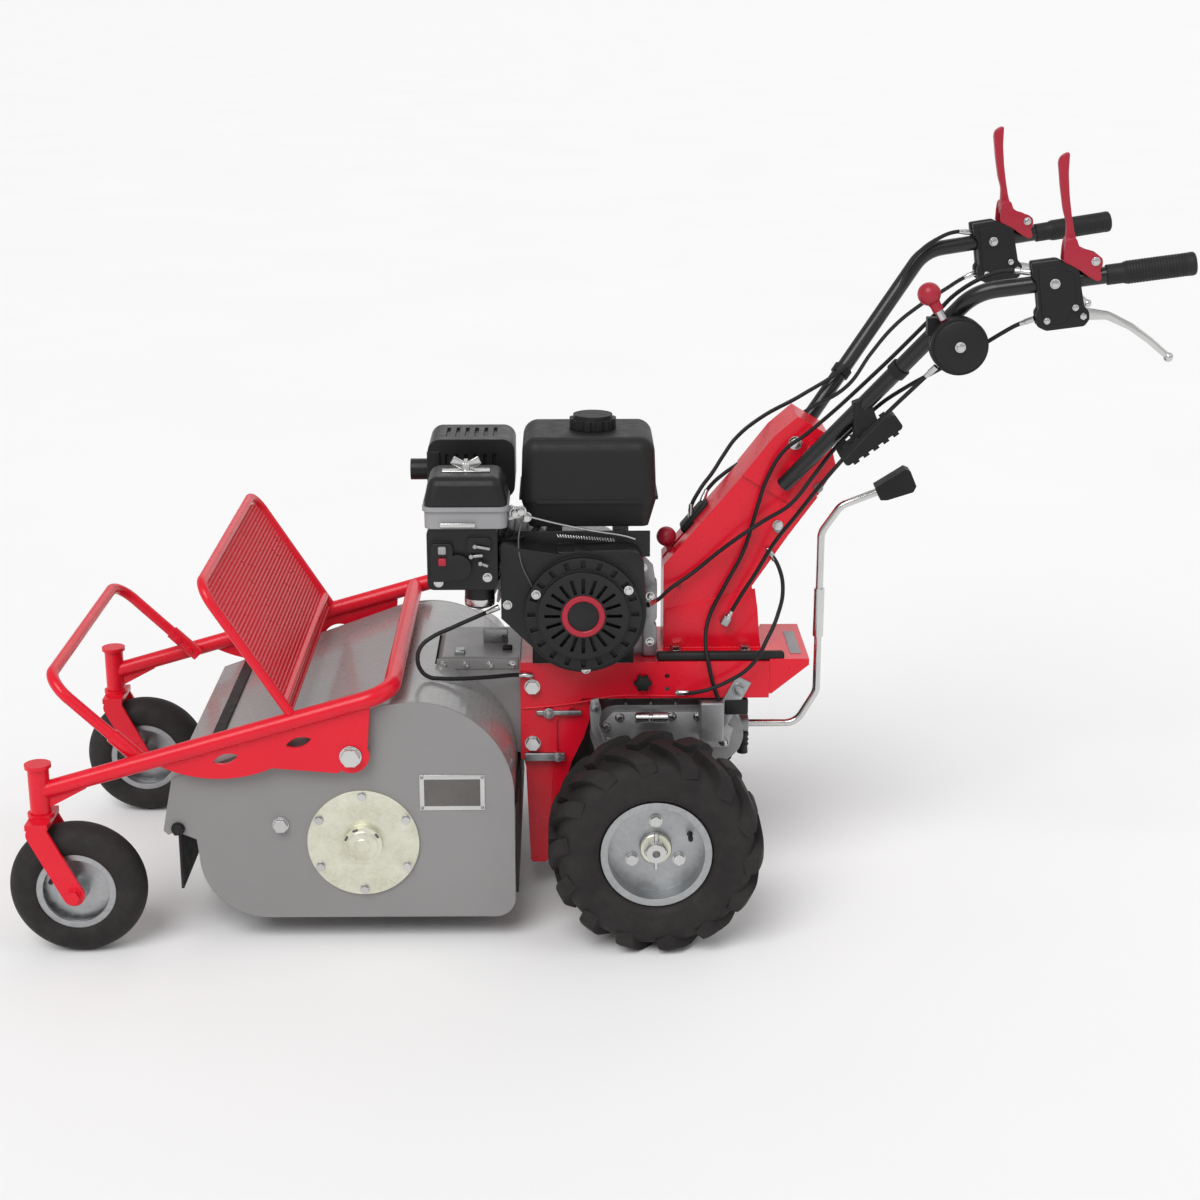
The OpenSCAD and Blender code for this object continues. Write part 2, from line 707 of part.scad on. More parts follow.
// Rubber flap bolted behind the hood's rear edge
module rear_flap() {
    half = deck_y - plate_t - 2;
    color(BLACK) placed() difference() {
        slab(-half, half) translate([hood_c[0] + hood_r + 0.7, 78]) square([4, 150]);
        translate([neck_rear - 60, -neck_y - 1, 236]) cube([120, 2 * neck_y + 2, 200]);
    }
}

// Chassis: two cheeks, an engine bed and a front plate bolted to the deck's neck
bed_z = 398;
chassis_front = neck_rear + seat_gap;
chassis_rear = 188;
cheek_bottom = 337;
module cheek2d() {
    difference() {
        union() {
            translate([chassis_front, cheek_bottom])
                square([chassis_rear - chassis_front, bed_z - cheek_bottom]);
            translate([chassis_front, 234]) square([58, bed_z - 234]);
            polygon([[-152, 300], [-110, cheek_bottom], [-110, bed_z], [-152, bed_z]]);
        }
        for (p = [[-16, 370], [25, 374], [25, 352]]) translate(p) circle(d = 8);
    }
}

module chassis() {
    color(RED) placed() {
        for (m = [left, right]) slab(m > 0 ? cheek_y - sheet_t : -cheek_y,
            m > 0 ? cheek_y : -cheek_y + sheet_t) cheek2d();
        translate([chassis_front, -cheek_y, bed_z - sheet_t])
            cube([chassis_rear - chassis_front, 2 * cheek_y, sheet_t]);
        translate([chassis_front, -cheek_y, 244]) cube([sheet_t, 2 * cheek_y, bed_z - 244]);
    }
}

// Prop legs that hold the machine up when the deck is taken off
module stand_legs() {
    color(RED) placed() for (m = [left, right])
        slab(m > 0 ? cheek_y - 2 * sheet_t - seat_gap : -cheek_y + sheet_t + seat_gap,
             m > 0 ? cheek_y - sheet_t - seat_gap : -cheek_y + 2 * sheet_t + seat_gap)
            polygon([[-202, 340], [-156, 340], [-156, 232], [-167, 56], [-171, 52], [-191, 52],
                [-195, 56], [-202, 232]]);
}

module rear_guard() {
    front = chassis_rear + seat_gap;
    rear = 251;
    top = bed_z + 4;
    color(RED) placed() {
        for (m = [left, right]) slab(m > 0 ? cheek_y - sheet_t : -cheek_y,
            m > 0 ? cheek_y : -cheek_y + sheet_t)
            polygon([[front, top], [rear, top], [rear, top - 10], [front + 4, 344], [front, 344]]);
        translate([front, -cheek_y, top - sheet_t]) cube([rear - front, 2 * cheek_y, sheet_t]);
        translate([front, -cheek_y, 344]) cube([sheet_t, 2 * cheek_y, top - 344]);
    }
}

// Gearbox with its axle tubes, the shift guide and the shift plate on its left side
gearbox_half = 72;
axle_tube_d = 62;
axle_tube_end = 152;
shift_y = -40;
shift_z = 275;
module gearbox() {
    color(ALLOY) placed() difference() {
        union() {
            slab(-gearbox_half, gearbox_half) {
                translate([0, axle_z]) circle(r = 72);
                translate([-52, 272]) circle(r = 46);
                translate([100, 268]) circle(r = 50);
                polygon([[-98, 272], [-72, axle_z], [72, axle_z], [150, 262], [110, 318], [-52, 318]]);
            }
            for (m = [left, right]) slab(m * 36 - 7, m * 36 + 7)
                polygon([[-70, 300], [-60, bed_z - sheet_t - 0.1], [120, bed_z - sheet_t - 0.1],
                    [120, 300]]);
            for (k = [-60, -20, 20, 60]) translate([k + 20, 0, 312])
                cube([4, 2 * gearbox_half - 6, 20], center = true);
            for (m = [left, right]) translate([0, 0, axle_z]) outward(m) {
                cylinder(h = axle_tube_end, d = axle_tube_d);
                cylinder(h = gearbox_half + 10, r = 54);
            }
            slab(-gearbox_half - 5, -gearbox_half + 1) link2d([104, 286], [140, 346], 26);
            translate([140, shift_y, shift_z]) rotate([0, 90, 0]) cylinder(h = 20, d = gear_rod_d + 16);
        }
        for (m = [left, right]) translate([0, m * (axle_in - 3), axle_z]) outward(m)
            cylinder(h = axle_tube_end, d = axle_d + 2 * run_gap);
        translate([60, shift_y, shift_z]) rotate([0, 90, 0])
            cylinder(h = 150, d = gear_rod_d + 2 * run_gap);
    }
}

// Post: two cheeks with a folded front, standing on a flange behind the engine
post_front = [[20, bed_z + 6], [20, 545], [158, 708]];
flange_w = 23;
module post() {
    color(RED) placed() difference() {
        union() {
            for (m = [left, right]) slab(m > 0 ? post_y - sheet_t : -post_y,
                m > 0 ? post_y : -post_y + sheet_t)
                polygon(concat(post_front, [[262, 655], [217, 593], [179, 536], [160, 508],
                    [178, bed_z + 6]]));
            slab(-post_y, post_y) bent_sheet(post_front, sheet_t);
            slab(-post_y, post_y) bent_sheet([[262, 655], [217, 593], [160, 508]], sheet_t);
            translate([12, -post_y - flange_w, bed_z]) cube([176, 2 * post_y + 2 * flange_w, 8]);
        }
        translate([10, -8, 528]) cube([60, 16, 80]);
        translate(concat([ball_pivot[0]], [-100], [ball_pivot[1]])) rotate([-90, 0, 0])
            cylinder(h = 200, d = 8);
    }
}

// Handlebar route, as shares of which the bracket's spacers are placed
bracket_y = post_y + 0.2 + sheet_t;
bar_start = [206, bracket_y + bar_d / 2 + 0.2, 680];
bar_knee = [460, bar_y - 24, 1006];
bar_end = [766, bar_y, 1050];
bar_bend = 70;
function bar_point(i, m) = let (p = [bar_start, bar_knee, bar_end][i]) [p[0], m * p[1], p[2]];

// Upper bracket over the post, with a spacer to each handlebar bolt
bracket_top = [[142, 692], [190, 754], [227, 786], [276, 756]];
bracket_bolts = [0.07, 0.18];
spacer_d = 22;
module post_bracket() {
    color(RED) placed() difference() {
        union() {
            for (m = [left, right]) slab(m > 0 ? post_y + 0.2 : -bracket_y,
                m > 0 ? bracket_y : -post_y - 0.2)
                polygon(concat(bracket_top, [[289, 706], [262, 660], [228, 640]]));
            difference() {
                slab(-bracket_y, bracket_y) bent_sheet(bracket_top, sheet_t);
                slab(-post_y - 0.2, post_y + 0.2)
                    polygon([[100, 600], [142, 690], [158, 709], [230, 680], [200, 600]]);
            }
            for (m = [left, right], t = bracket_bolts) {
                p = bar_start + (bar_knee - bar_start) * t;
                translate([p[0], m * (bracket_y - 1), p[2]]) outward(m)
                    cylinder(h = p[1] - bracket_y + 1, d = spacer_d);
            }
        }
        for (m = [left, right]) rod(bar_point(0, m), bar_point(1, m), bar_d + 0.2);
    }
}

// Handlebars: each tube climbs outward from the bracket, then bends back to the grip
module handlebar(m) {
    color(BLACK) placed() bent_rod([for (i = [0 : 2]) bar_point(i, m)], bar_bend, bar_d);
}

// Place on the straight end of a handlebar, at a given X, turned along the tube
bar_pitch = atan2(bar_end[2] - bar_knee[2], bar_end[0] - bar_knee[0]);
bar_yaw = atan2(bar_end[1] - bar_knee[1], bar_end[0] - bar_knee[0]);
module on_bar(x, m) {
    t = (x - bar_knee[0]) / (bar_end[0] - bar_knee[0]);
    p = bar_knee + (bar_end - bar_knee) * t;
    translate([p[0], m * p[1], p[2]]) rotate([0, 0, m * bar_yaw]) rotate([0, -bar_pitch, 0]) children();
}

module handle_grips() {
    color(BLACK) placed() for (m = [left, right]) on_bar(bar_end[0] - grip_l + 6, m) rotate([0, 90, 0])
        difference() {
        union() {
            cylinder(h = grip_l, d = grip_d - 4);
            for (k = [0 : 5]) translate([0, 0, 18 + 17 * k]) cylinder(h = 13, d = grip_d);
            translate([0, 0, grip_l - 6]) cylinder(h = 6, d = grip_d + 2);
            cylinder(h = 10, d = grip_d + 2);
        }
        translate([0, 0, -1]) cylinder(h = grip_l - 2.5, d = bar_d + 0.2);
    }
}

// Lever perches: a block on each bar with ears for the red lever above and the bright lever below
perch_x = 576;
perch_half_l = 36;
perch_half_w = 18;
lever_t = 12;
lever_pin_d = 6;
red_pivot = [54, 24];
bright_pivot = [30, -52];
bright_t = 9;
module perch2d() {
    translate([-perch_half_l, -70]) square([2 * perch_half_l, 92]);
    link2d([perch_half_l - 12, 12], red_pivot, 22);
}
module lever_perches() {
    color(BLACK) placed() for (m = [left, right]) on_bar(perch_x, m) difference() {
        slab(-perch_half_w, perch_half_w) perch2d();
        translate([-100, 0, 0]) rotate([0, 90, 0]) cylinder(h = 200, d = bar_d + 0.2);
        slab(-lever_t / 2 - side_gap, lever_t / 2 + side_gap)
            translate([perch_half_l - 14, bar_d / 2 + 1]) square([60, 60]);
        slab(-bright_t / 2 - side_gap, bright_t / 2 + side_gap) translate([bright_pivot[0] - 14, -75])
            square([60, 46]);
    }
    color(STEEL) placed() for (m = [left, right], p = [red_pivot, bright_pivot]) on_bar(perch_x, m)
        translate([p[0], -perch_half_w - 3, p[1]]) rotate([-90, 0, 0])
            cylinder(h = 2 * perch_half_w + 6, d = lever_pin_d);
}

// Red lever standing up over the grip: a cranked, tapering bar with a round tip
lever_l = 154;
red_path = [red_pivot, [36, 52], [27, 90], [21, 140], red_pivot + [-37, lever_l]];
red_widths = [19, 18, 15, 13, 15];
module taper2d(a, b, wa, wb) {
    n = side_normal(a, b) / 2;
    polygon([a + (wa - link_step) * n, b + (wb - link_step) * n, b - (wb - link_step) * n,
        a - (wa - link_step) * n]);
}
module clutch_lever(m) {
    last = len(red_path) - 1;
    color(CRIMSON) placed() on_bar(perch_x, m) slab(-lever_t / 2, lever_t / 2) difference() {
        union() {
            for (i = [0 : last]) translate(red_path[i]) circle(d = red_widths[i]);
            for (i = [0 : last - 1]) taper2d(red_path[i], red_path[i + 1], red_widths[i],
                red_widths[i + 1]);
        }
        translate(red_pivot) circle(d = lever_pin_d + 2 * run_gap);
    }
}

// Bright lever under the grip with a ball at its end
module brake_lever(m) {
    path = [bright_pivot, [110, -70], [150, -98], [172, -124]];
    color(STEEL) placed() on_bar(perch_x, m) {
        slab(-bright_t / 2, bright_t / 2) difference() {
            union() {
                translate(bright_pivot) circle(r = 11);
                for (i = [0 : 2]) link2d(path[i], path[i + 1], 13 - 1.5 * i);
            }
            translate(bright_pivot) circle(d = lever_pin_d + 2 * run_gap);
        }
        translate([path[3][0], 0, path[3][1]]) sphere(r = 8.5);
    }
}

// Throttle: a round housing on the left bar with a slot for its lever
throttle_c = [437, 930];
throttle_y = -236;
throttle_r = 42;
throttle_t = 24;
throttle_slot = 5;
throttle_pin_d = 10;
module throttle_housing() {
    color(BLACK) placed() translate([0, throttle_y, 0]) {
        difference() {
            slab(-throttle_t / 2, throttle_t / 2) translate(throttle_c) circle(r = throttle_r);
            slab(-throttle_slot / 2, throttle_slot / 2) translate(throttle_c) difference() {
                union() {
                    circle(r = 16);
                    polygon([[0, 0], [-120, 20], [-120, 130], [40, 130]]);
                }
                circle(d = throttle_pin_d);
            }
        }
        difference() {
            slab(throttle_t / 2, throttle_t / 2 + 17) translate(throttle_c + [-44, 12]) square([40, 26]);
            rod(bar_point(0, left) - [0, throttle_y, 0], bar_point(1, left) - [0, throttle_y, 0],
                bar_d + 0.2);
        }
    }
}

throttle_ball = [-46, 75];
throttle_ball_r = 17;
module throttle_lever() {
    color(CRIMSON) placed() translate([0, throttle_y, 0]) {
        slab(-2, 2) translate(throttle_c) difference() {
            union() {
                circle(r = 14);
                link2d([0, 0], throttle_ball, 11);
            }
            circle(d = throttle_pin_d + 2 * run_gap);
        }
        translate([throttle_c[0] + throttle_ball[0], 0, throttle_c[1] + throttle_ball[1]])
            outward(left) sphere(r = throttle_ball_r);
    }
}

// Gear rod: slides out of the gearbox, turns up behind the guard and ends in a wedge knob
gear_bend = 30;
gear_route = [[78, shift_z], [238, shift_z], [270, 330], [270, 596], [300, 640], [356, 662]];
module gear_rod() {
    color(STEEL) placed() {
        bent_rod([for (p = gear_route) [p[0], shift_y, p[1]]], gear_bend, gear_rod_d);
        translate([270, shift_y, 424]) cylinder(h = 80, d = gear_rod_d + 5);
    }
}

module gear_knob() {
    base = gear_route[5] + [0.2, 0.1];
    color(BLACK) placed() translate([base[0], shift_y, base[1]]) rotate([0, -atan2(22, 52), 0])
        slab(-16, 16)
        polygon([[0, -11], [10, -15], [52, -19], [60, -12], [60, 14], [54, 20], [12, 13], [0, 11]]);
}

// Short lever with a ball, pivoted inside the post
ball_pivot = [44, 512];
ball_at = [26, 580];
ball_r = 16;
module ball_lever() {
    color(RED) placed() {
        slab(-5, 5) {
            translate(ball_pivot) circle(r = 11);
            link2d(ball_pivot, ball_at, 10);
        }
        translate([ball_pivot[0], -post_y - 4, ball_pivot[1]]) rotate([-90, 0, 0])
            cylinder(h = 2 * post_y + 8, d = 8 - 2 * run_gap);
        translate([ball_at[0], 0, ball_at[1]]) outward(left) sphere(r = ball_r);
    }
}

// Engine: crankcase on the bed, finned cylinder leaning forward, fan shroud on the left
crank = [-109, 500];
cylinder_tilt = 25;
case_r = 84;
case_left = -96;
case_right = 84;
// Face of the intake port that the carburettor is bolted to
intake_y = -76;
tank_z = 620;
muffler_z = 644;
module along_cylinder() { translate([crank[0], 0, crank[1]]) rotate([0, cylinder_tilt, 0]) children(); }

module engine_block() {
    color(ALLOY) placed() difference() {
        union() {
            slab(case_left, case_right) {
                translate(crank) circle(r = case_r);
                translate([-186, bed_z]) square([154, 70]);
            }
            along_cylinder() {
                translate([-190, -52, -50]) cube([120, 104, 100]);
                for (k = [0 : fin_count - 1]) translate([-88 - 11 * k, -70, -64]) cube([4, 140, 120]);
                translate([-212, -52, -56]) cube([24, 104, 112]);
                translate([-240, -48, -44]) cube([30, 96, 88]);
            }
            for (x = [-165, -60]) translate([x, -40, crank[1]]) cube([24, 80, tank_z - crank[1]]);
            translate([-262, 30, 560]) cube([16, 60, muffler_z - 560]);
            translate([-285, intake_y + seat_gap, 585]) outward(right) cylinder(h = 30, d = 36);
            translate([crank[0], case_right - 1, crank[1]]) rotate([-90, 0, 0]) cylinder(h = 30, r = 58);
            translate([-30, -50, bed_z]) cube([26, 24, 120]);
        }
        for (m = [left, right], x = [-176, -44]) translate([x, m * 62, bed_z - 1]) cylinder(h = 12, d = 10);
    }
}

// Fan shroud and recoil starter with a ring of slots and a plain round centre
shroud_out = -164;
starter_r = 64;
module recoil_cover() {
    front = shroud_out - 10;
    color(BLACK) placed() difference() {
        union() {
            slab(shroud_out + 14, case_left - 0.2) {
                translate(crank) circle(r = shroud_r, $fn = 96);
                polygon([crank + [-30, 92], [-236, 606], [-236, 490], crank + [-70, -66]]);
            }
            slab(shroud_out, shroud_out + 15) translate(crank) circle(r = shroud_r - 8, $fn = 96);
            slab(front, shroud_out + 1) translate(crank) circle(r = starter_r + 6);
        }
        for (k = [0 : slot_count - 1]) slab(front - 1, front + 12) translate(crank)
            rotate(360 * k / slot_count)
            translate([36, -2.6]) square([starter_r - 40, 5.2]);
        for (k = [0 : slot_count - 1]) slab(shroud_out - 12, shroud_out + 6) translate(crank)
            rotate(360 * k / slot_count)
            translate([starter_r + 10, -3.5]) square([12, 7]);
        slab(front - 1, front + 2) translate(crank) circle(r = 28);
    }
}

// Tank with rounded edges, a seam round its lower half and a filler neck
tank_min = [-205, -98, 0];
tank_max = [6, 84, 140];
tank_round = 24;
cap_at = [-92, -6];
cap_r = 37;
cap_h = 22;
neck_r = 27;
module fuel_tank() {
    seam_z = tank_z + 42;
    top = tank_z + tank_max[2];
    color(BLACK) placed() {
        hull() for (x = [tank_min[0] + tank_round, tank_max[0] - tank_round],
            y = [tank_min[1] + tank_round, tank_max[1] - tank_round]) {
            translate([x, y, tank_z]) cylinder(h = 4, r = tank_round - 12, $fn = 32);
            translate([x, y, seam_z]) cylinder(h = 6, r = tank_round, $fn = 32);
            translate([x * 0.97 - 3, y * 0.94, top - tank_round]) sphere(r = tank_round, $fn = 32);
        }
        translate([cap_at[0], cap_at[1], top - 8]) cylinder(h = 12, r = neck_r);
        translate([tank_min[0] - 3, tank_min[1] + tank_round, seam_z - 2])
            cube([tank_max[0] - tank_min[0] + 6, tank_max[1] - tank_min[1] - 2 * tank_round, 5]);
        translate([tank_min[0] + tank_round, tank_min[1] - 3, seam_z - 2])
            cube([tank_max[0] - tank_min[0] - 2 * tank_round, tank_max[1] - tank_min[1] + 6, 5]);
    }
}

module fuel_cap() {
    base = tank_z + tank_max[2] + 0.3;
    color(BLACK) placed() translate([cap_at[0], cap_at[1], base]) difference() {
        union() {
            cylinder(h = cap_h - 6, r = cap_r);
            cylinder(h = cap_h, r = cap_r - 6);
        }
        translate([0, 0, -1]) cylinder(h = 8, r = neck_r + 0.4);
        for (k = [0 : 11]) rotate(30 * k) translate([cap_r + 3, 0, -1]) cylinder(h = cap_h + 2, r = 6);
    }
}

// Rounded rectangle, drawn from a corner
module pad2d(w, h, r) {
    translate([r, 0]) square([w - 2 * r, h]);
    translate([0, r]) square([w, h - 2 * r]);
    for (x = [r, w - r], y = [r, h - r]) translate([x, y]) circle(r = r);
}

cleaner = [-351, -166, 638];
cleaner_w = 126;
cleaner_d = 112;
cleaner_base_h = 34;
module air_cleaner_base() {
    color(GREY) placed() translate(cleaner) {
        linear_extrude(cleaner_base_h) pad2d(cleaner_w, cleaner_d, 14);
        translate([-3, -3, cleaner_base_h - 7]) linear_extrude(7) pad2d(cleaner_w + 6, cleaner_d + 6, 16);
    }
}

module air_cleaner_lid() {
    r = 18;
    color(BLACK) placed() translate(cleaner + [0, 0, cleaner_base_h + 0.1]) hull() {
        linear_extrude(8) pad2d(cleaner_w, cleaner_d, 14);
        for (x = [r + 4, cleaner_w - r - 4], y = [r + 4, cleaner_d - r - 4]) translate([x, y, 44 - r])
            sphere(r = r, $fn = 28);
    }
}

// Muffler under a louvred heat shield, with its outlet at the front
muffler = [-354, 0, 0];
muffler_size = [138, 112, 96];
module muffler() {
    color(BLACK) placed() translate(muffler + [0, 0, muffler_z + 0.1]) difference() {
        union() {
            translate([0, muffler_size[1], 0]) rotate([90, 0, 0]) linear_extrude(muffler_size[1])
                pad2d(muffler_size[0], muffler_size[2], 20);
            translate([-30, 44, 38]) rotate([0, 90, 0]) cylinder(h = 40, d = 34);
            translate([-1, -4, 20]) cube([20, 6, 56]);
        }
        translate([-31, 44, 38]) rotate([0, 90, 0]) cylinder(h = 26, d = 27);
        for (k = [0 : 5]) translate([28 + 15 * k, -1, 24]) cube([6, 5, 48]);
        for (k = [0 : 5]) translate([28 + 15 * k, 24, muffler_size[2] - 4]) cube([6, 64, 6]);
    }
}

// Carburettor with its control box on the left of the cylinder
module carburettor() {
    color(BLACK) placed() {
        slab(-162, intake_y) translate([-348, 540]) pad2d(108, 97.8, 10);
        translate([-300, -164, 578]) outward(left) cylinder(h = 8, d = 40);
        slab(-172, -161) translate([-342, 556]) pad2d(34, 60, 6);
        slab(-168, -161) translate([-286, 600]) pad2d(36, 24, 5);
        translate([-270, -120, 505]) cylinder(h = 36, d = 46);
    }
}

// Ribbed block and cable clips held on the handlebars
block_c = [327, 770];
module cable_clips() {
    color(BLACK) placed() {
        difference() {
            union() {
                slab(-152, -118) translate(block_c) rotate(36) {
                    translate([-52, -13]) pad2d(104, 26, 6);
                    for (k = [-2 : 2]) translate([18 * k - 5, -17]) square([10, 34]);
                }
                slab(-146, -126) translate(block_c) polygon([[-24, 0], [14, 20], [-4, 66], [-28, 56]]);
            }
            rod(bar_point(0, left), bar_point(1, left), bar_d + 0.2);
        }
        bar_clip(0.42, right);
        bar_clip(0.60, left);
    }
}

module bar_clip(t, m) {
    a = bar_point(0, m);
    v = bar_point(1, m) - a;
    l = norm(v);
    translate(a + v * t) rotate([0, acos(v[2] / l), atan2(v[1], v[0])]) difference() {
        cylinder(h = 14, d = bar_d + 6);
        translate([0, 0, -1]) cylinder(h = 16, d = bar_d + 0.2);
    }
}

// Control cables, each along its own hand-set route
cable_routes = [
    [[536.5, 231, 1035], [515, 226, 1037], [485, 214, 1030], [440, 196, 1000], [410, 168, 948],
        [365, 142, 890], [320, 112, 835],
        [250, 100, 790], [180, 82, 755], [140, 68, 725], [120, 56, 700], [102, 40, 676], [80, 24, 650],
            [66, 18, 622], [66, 18, 607]],
    [[546.2, 232, 968], [525, 224, 960], [495, 208, 945], [445, 186, 918], [405, 166, 890],
        [365, 140, 850], [325, 114, 802],
        [250, 74, 766], [190, 66, 716], [140, 62, 678], [114, 52, 664], [98, 38, 652], [84, 30, 636],
            [84, 30, 628]],
    [[536.5, -231, 1035], [515, -226, 1037], [485, -214, 1030], [440, -198, 1002], [410, -182, 966],
        [335, -132, 872], [240, -72, 764],
        [205, -66, 735], [180, -62, 690], [165, -60, 640], [145, -58, 570], [115, -58, 510],
            [92, -60, 460], [86, -84, 428],
        [90, -98, 398], [102, -98, 350], [112, -91, 325], [116, -82, 314]],
    [[546.2, -232, 968], [525, -222, 958], [505, -212, 944], [485, -200, 928], [420, -166, 880],
        [380, -140, 850], [340, -108, 812],
        [285, -88, 748], [250, -86, 700], [215, -88, 655], [175, -76, 625], [140, -72, 600],
            [105, -62, 570], [65, -58, 535],
        [30, -66, 512], [10, -100, 505], [-8, -130, 505]],
    [[406, -236, 899], [380, -222, 868], [345, -200, 825], [305, -182, 775], [262, -160, 716],
        [222, -116, 645], [190, -86, 590],
        [165, -74, 540], [142, -68, 500], [118, -64, 455]],
    [[185, -49.3, 572], [202, -66, 545], [208, -74, 510], [200, -86, 475], [182, -106, 440],
        [158, -114, 400], [120, -114, 372],
        [66, -110, 352], [40, -96, 348]],
    [[-240, -122, 500], [-262, -122, 486], [-320, -132, 464], [-362, -150, 440], [-372, -164, 416],
        [-345, -164, 403],
        [-300, -150, 392], [-245, -120, 384], [-216, -98, 380], [-190, -96, 378]]];
module control_cables() { color(BLACK) placed() for (p = cable_routes) sweep(p, cable_d); }

// Bolt heads, and the two bolts that the castor frame turns on
module head_at(x, y, z, side, d) { translate([x, y, z]) outward(side) bolt_head(d); }

module pivot_bolt() {
    spacer = castor_y - gusset_t / 2 - side_gap - deck_y;
    reach = castor_y + gusset_t / 2 + side_gap - deck_y;
    cylinder(h = spacer, d = pivot_d + 14);
    cylinder(h = reach + 1, d = pivot_d);
    translate([0, 0, reach]) bolt_head(pivot_d);
}

module bolts() {
    color(STEEL) placed() {
        for (m = [left, right]) {
            translate([pivot[0], m * deck_y, pivot[1]]) outward(m) pivot_bolt();
            for (k = [0 : 5]) translate([rotor_x, m * (deck_y + cover_t), rotor_z]) outward(m)
                rotate(60 * k + 30)
                translate([cover_r - 9, 0, 0]) bolt_head(7);
            head_at(-575, m * deck_y, 197, m, 12);
            for (p = [[-190, 358], [-190, 262]]) head_at(p[0], m * cheek_y, p[1], m, 12);
            for (x = [40, 150]) translate([x, m * (post_y + flange_w / 2), bed_z + 8]) bolt_head(10);
            head_at(200, m * post_y, 610, m, 8);
        }
    }
}

chassis();
stand_legs();
rear_guard();
gearbox();
post();
post_bracket();
handlebar(left);  // handlebar_left
handlebar(right);  // handlebar_right
handle_grips();
lever_perches();
throttle_housing();
cable_clips();
engine_block();
recoil_cover();
fuel_tank();
air_cleaner_base();
air_cleaner_lid();
muffler();
carburettor();
side_plate_left();
side_plate_right();
hood();
drive_neck();
bearing_covers();
belt_cover();
drive_belt();
rear_flap();
bolts();
control_cables();
frame_tube_left();
frame_tube_right();
front_hoop();
guard_frame();
guard_mesh();
castor_fork(left);  // castor_fork_left
castor_fork(right);  // castor_fork_right
castor_rim(left);  // castor_rim_left
castor_rim(right);  // castor_rim_right
castor_tyre(left);  // castor_tyre_left
castor_tyre(right);  // castor_tyre_right
drive_axle(left);  // drive_axle_left
drive_axle(right);  // drive_axle_right
drive_rim(left);  // drive_rim_left
drive_rim(right);  // drive_rim_right
drive_tyre(left);  // drive_tyre_left
drive_tyre(right);  // drive_tyre_right
rotor();
flail_row(-1);  // flails_front
flail_row(1);  // flails_rear
jackshaft();
front_flap();
clutch_lever(left);  // clutch_lever_left
clutch_lever(right);  // clutch_lever_right
brake_lever(left);  // brake_lever_left
brake_lever(right);  // brake_lever_right
throttle_lever();
gear_rod();
gear_knob();
fuel_cap();
ball_lever();
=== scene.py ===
import math

import bmesh
import bpy
from mathutils import Matrix, Vector


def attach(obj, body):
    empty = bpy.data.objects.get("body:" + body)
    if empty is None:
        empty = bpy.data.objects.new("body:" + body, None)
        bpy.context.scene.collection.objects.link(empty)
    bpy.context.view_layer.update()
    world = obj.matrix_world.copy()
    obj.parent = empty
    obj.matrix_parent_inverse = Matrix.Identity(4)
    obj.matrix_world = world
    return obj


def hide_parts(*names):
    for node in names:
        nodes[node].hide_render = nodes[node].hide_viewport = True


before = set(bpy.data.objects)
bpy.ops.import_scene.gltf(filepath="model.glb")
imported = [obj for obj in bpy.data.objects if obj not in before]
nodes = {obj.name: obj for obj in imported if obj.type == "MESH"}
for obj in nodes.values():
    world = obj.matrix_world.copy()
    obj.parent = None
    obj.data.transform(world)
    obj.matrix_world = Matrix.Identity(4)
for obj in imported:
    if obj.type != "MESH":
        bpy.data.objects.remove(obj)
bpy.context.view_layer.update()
scene = bpy.context.scene
print("frame loaded:", len(nodes), "nodes")

# camera at the photograph's place, floor and soft light
cameraSetup = {"place": (-0.0268, -3.2742, 1.4729), "yaw": 0.964, "down": 16.973, "lens": 63.37, "sensor": 36.0,
    "clipEnd": 250}
studio = {"floorColor": (0.93, 0.93, 0.93), "floorSize": 130, "worldColor": (1.0, 1.0, 1.0), "worldStrength": 0.49,
    "horizonColor": (0.955, 0.955, 0.955), "lamps": [((-1.2, -2.6, 3.2), 38, 1.8), ((2.6, -0.6, 2.4), 50, 0.35),
        ((0.6, 2.6, 1.6), 50, 0.3)]}


def addObject(name, data):
    obj = bpy.data.objects.new(name, data)
    scene.collection.objects.link(obj)
    return obj


def addCamera(setup):
    data = bpy.data.cameras.new("photoCamera")
    data.lens = setup["lens"]
    data.sensor_width = setup["sensor"]
    data.sensor_fit = "HORIZONTAL"
    data.clip_end = setup["clipEnd"]
    obj = addObject("photoCamera", data)
    obj.location = setup["place"]
    obj.rotation_euler = (math.radians(90 - setup["down"]), 0, math.radians(-setup["yaw"]))
    scene.camera = obj


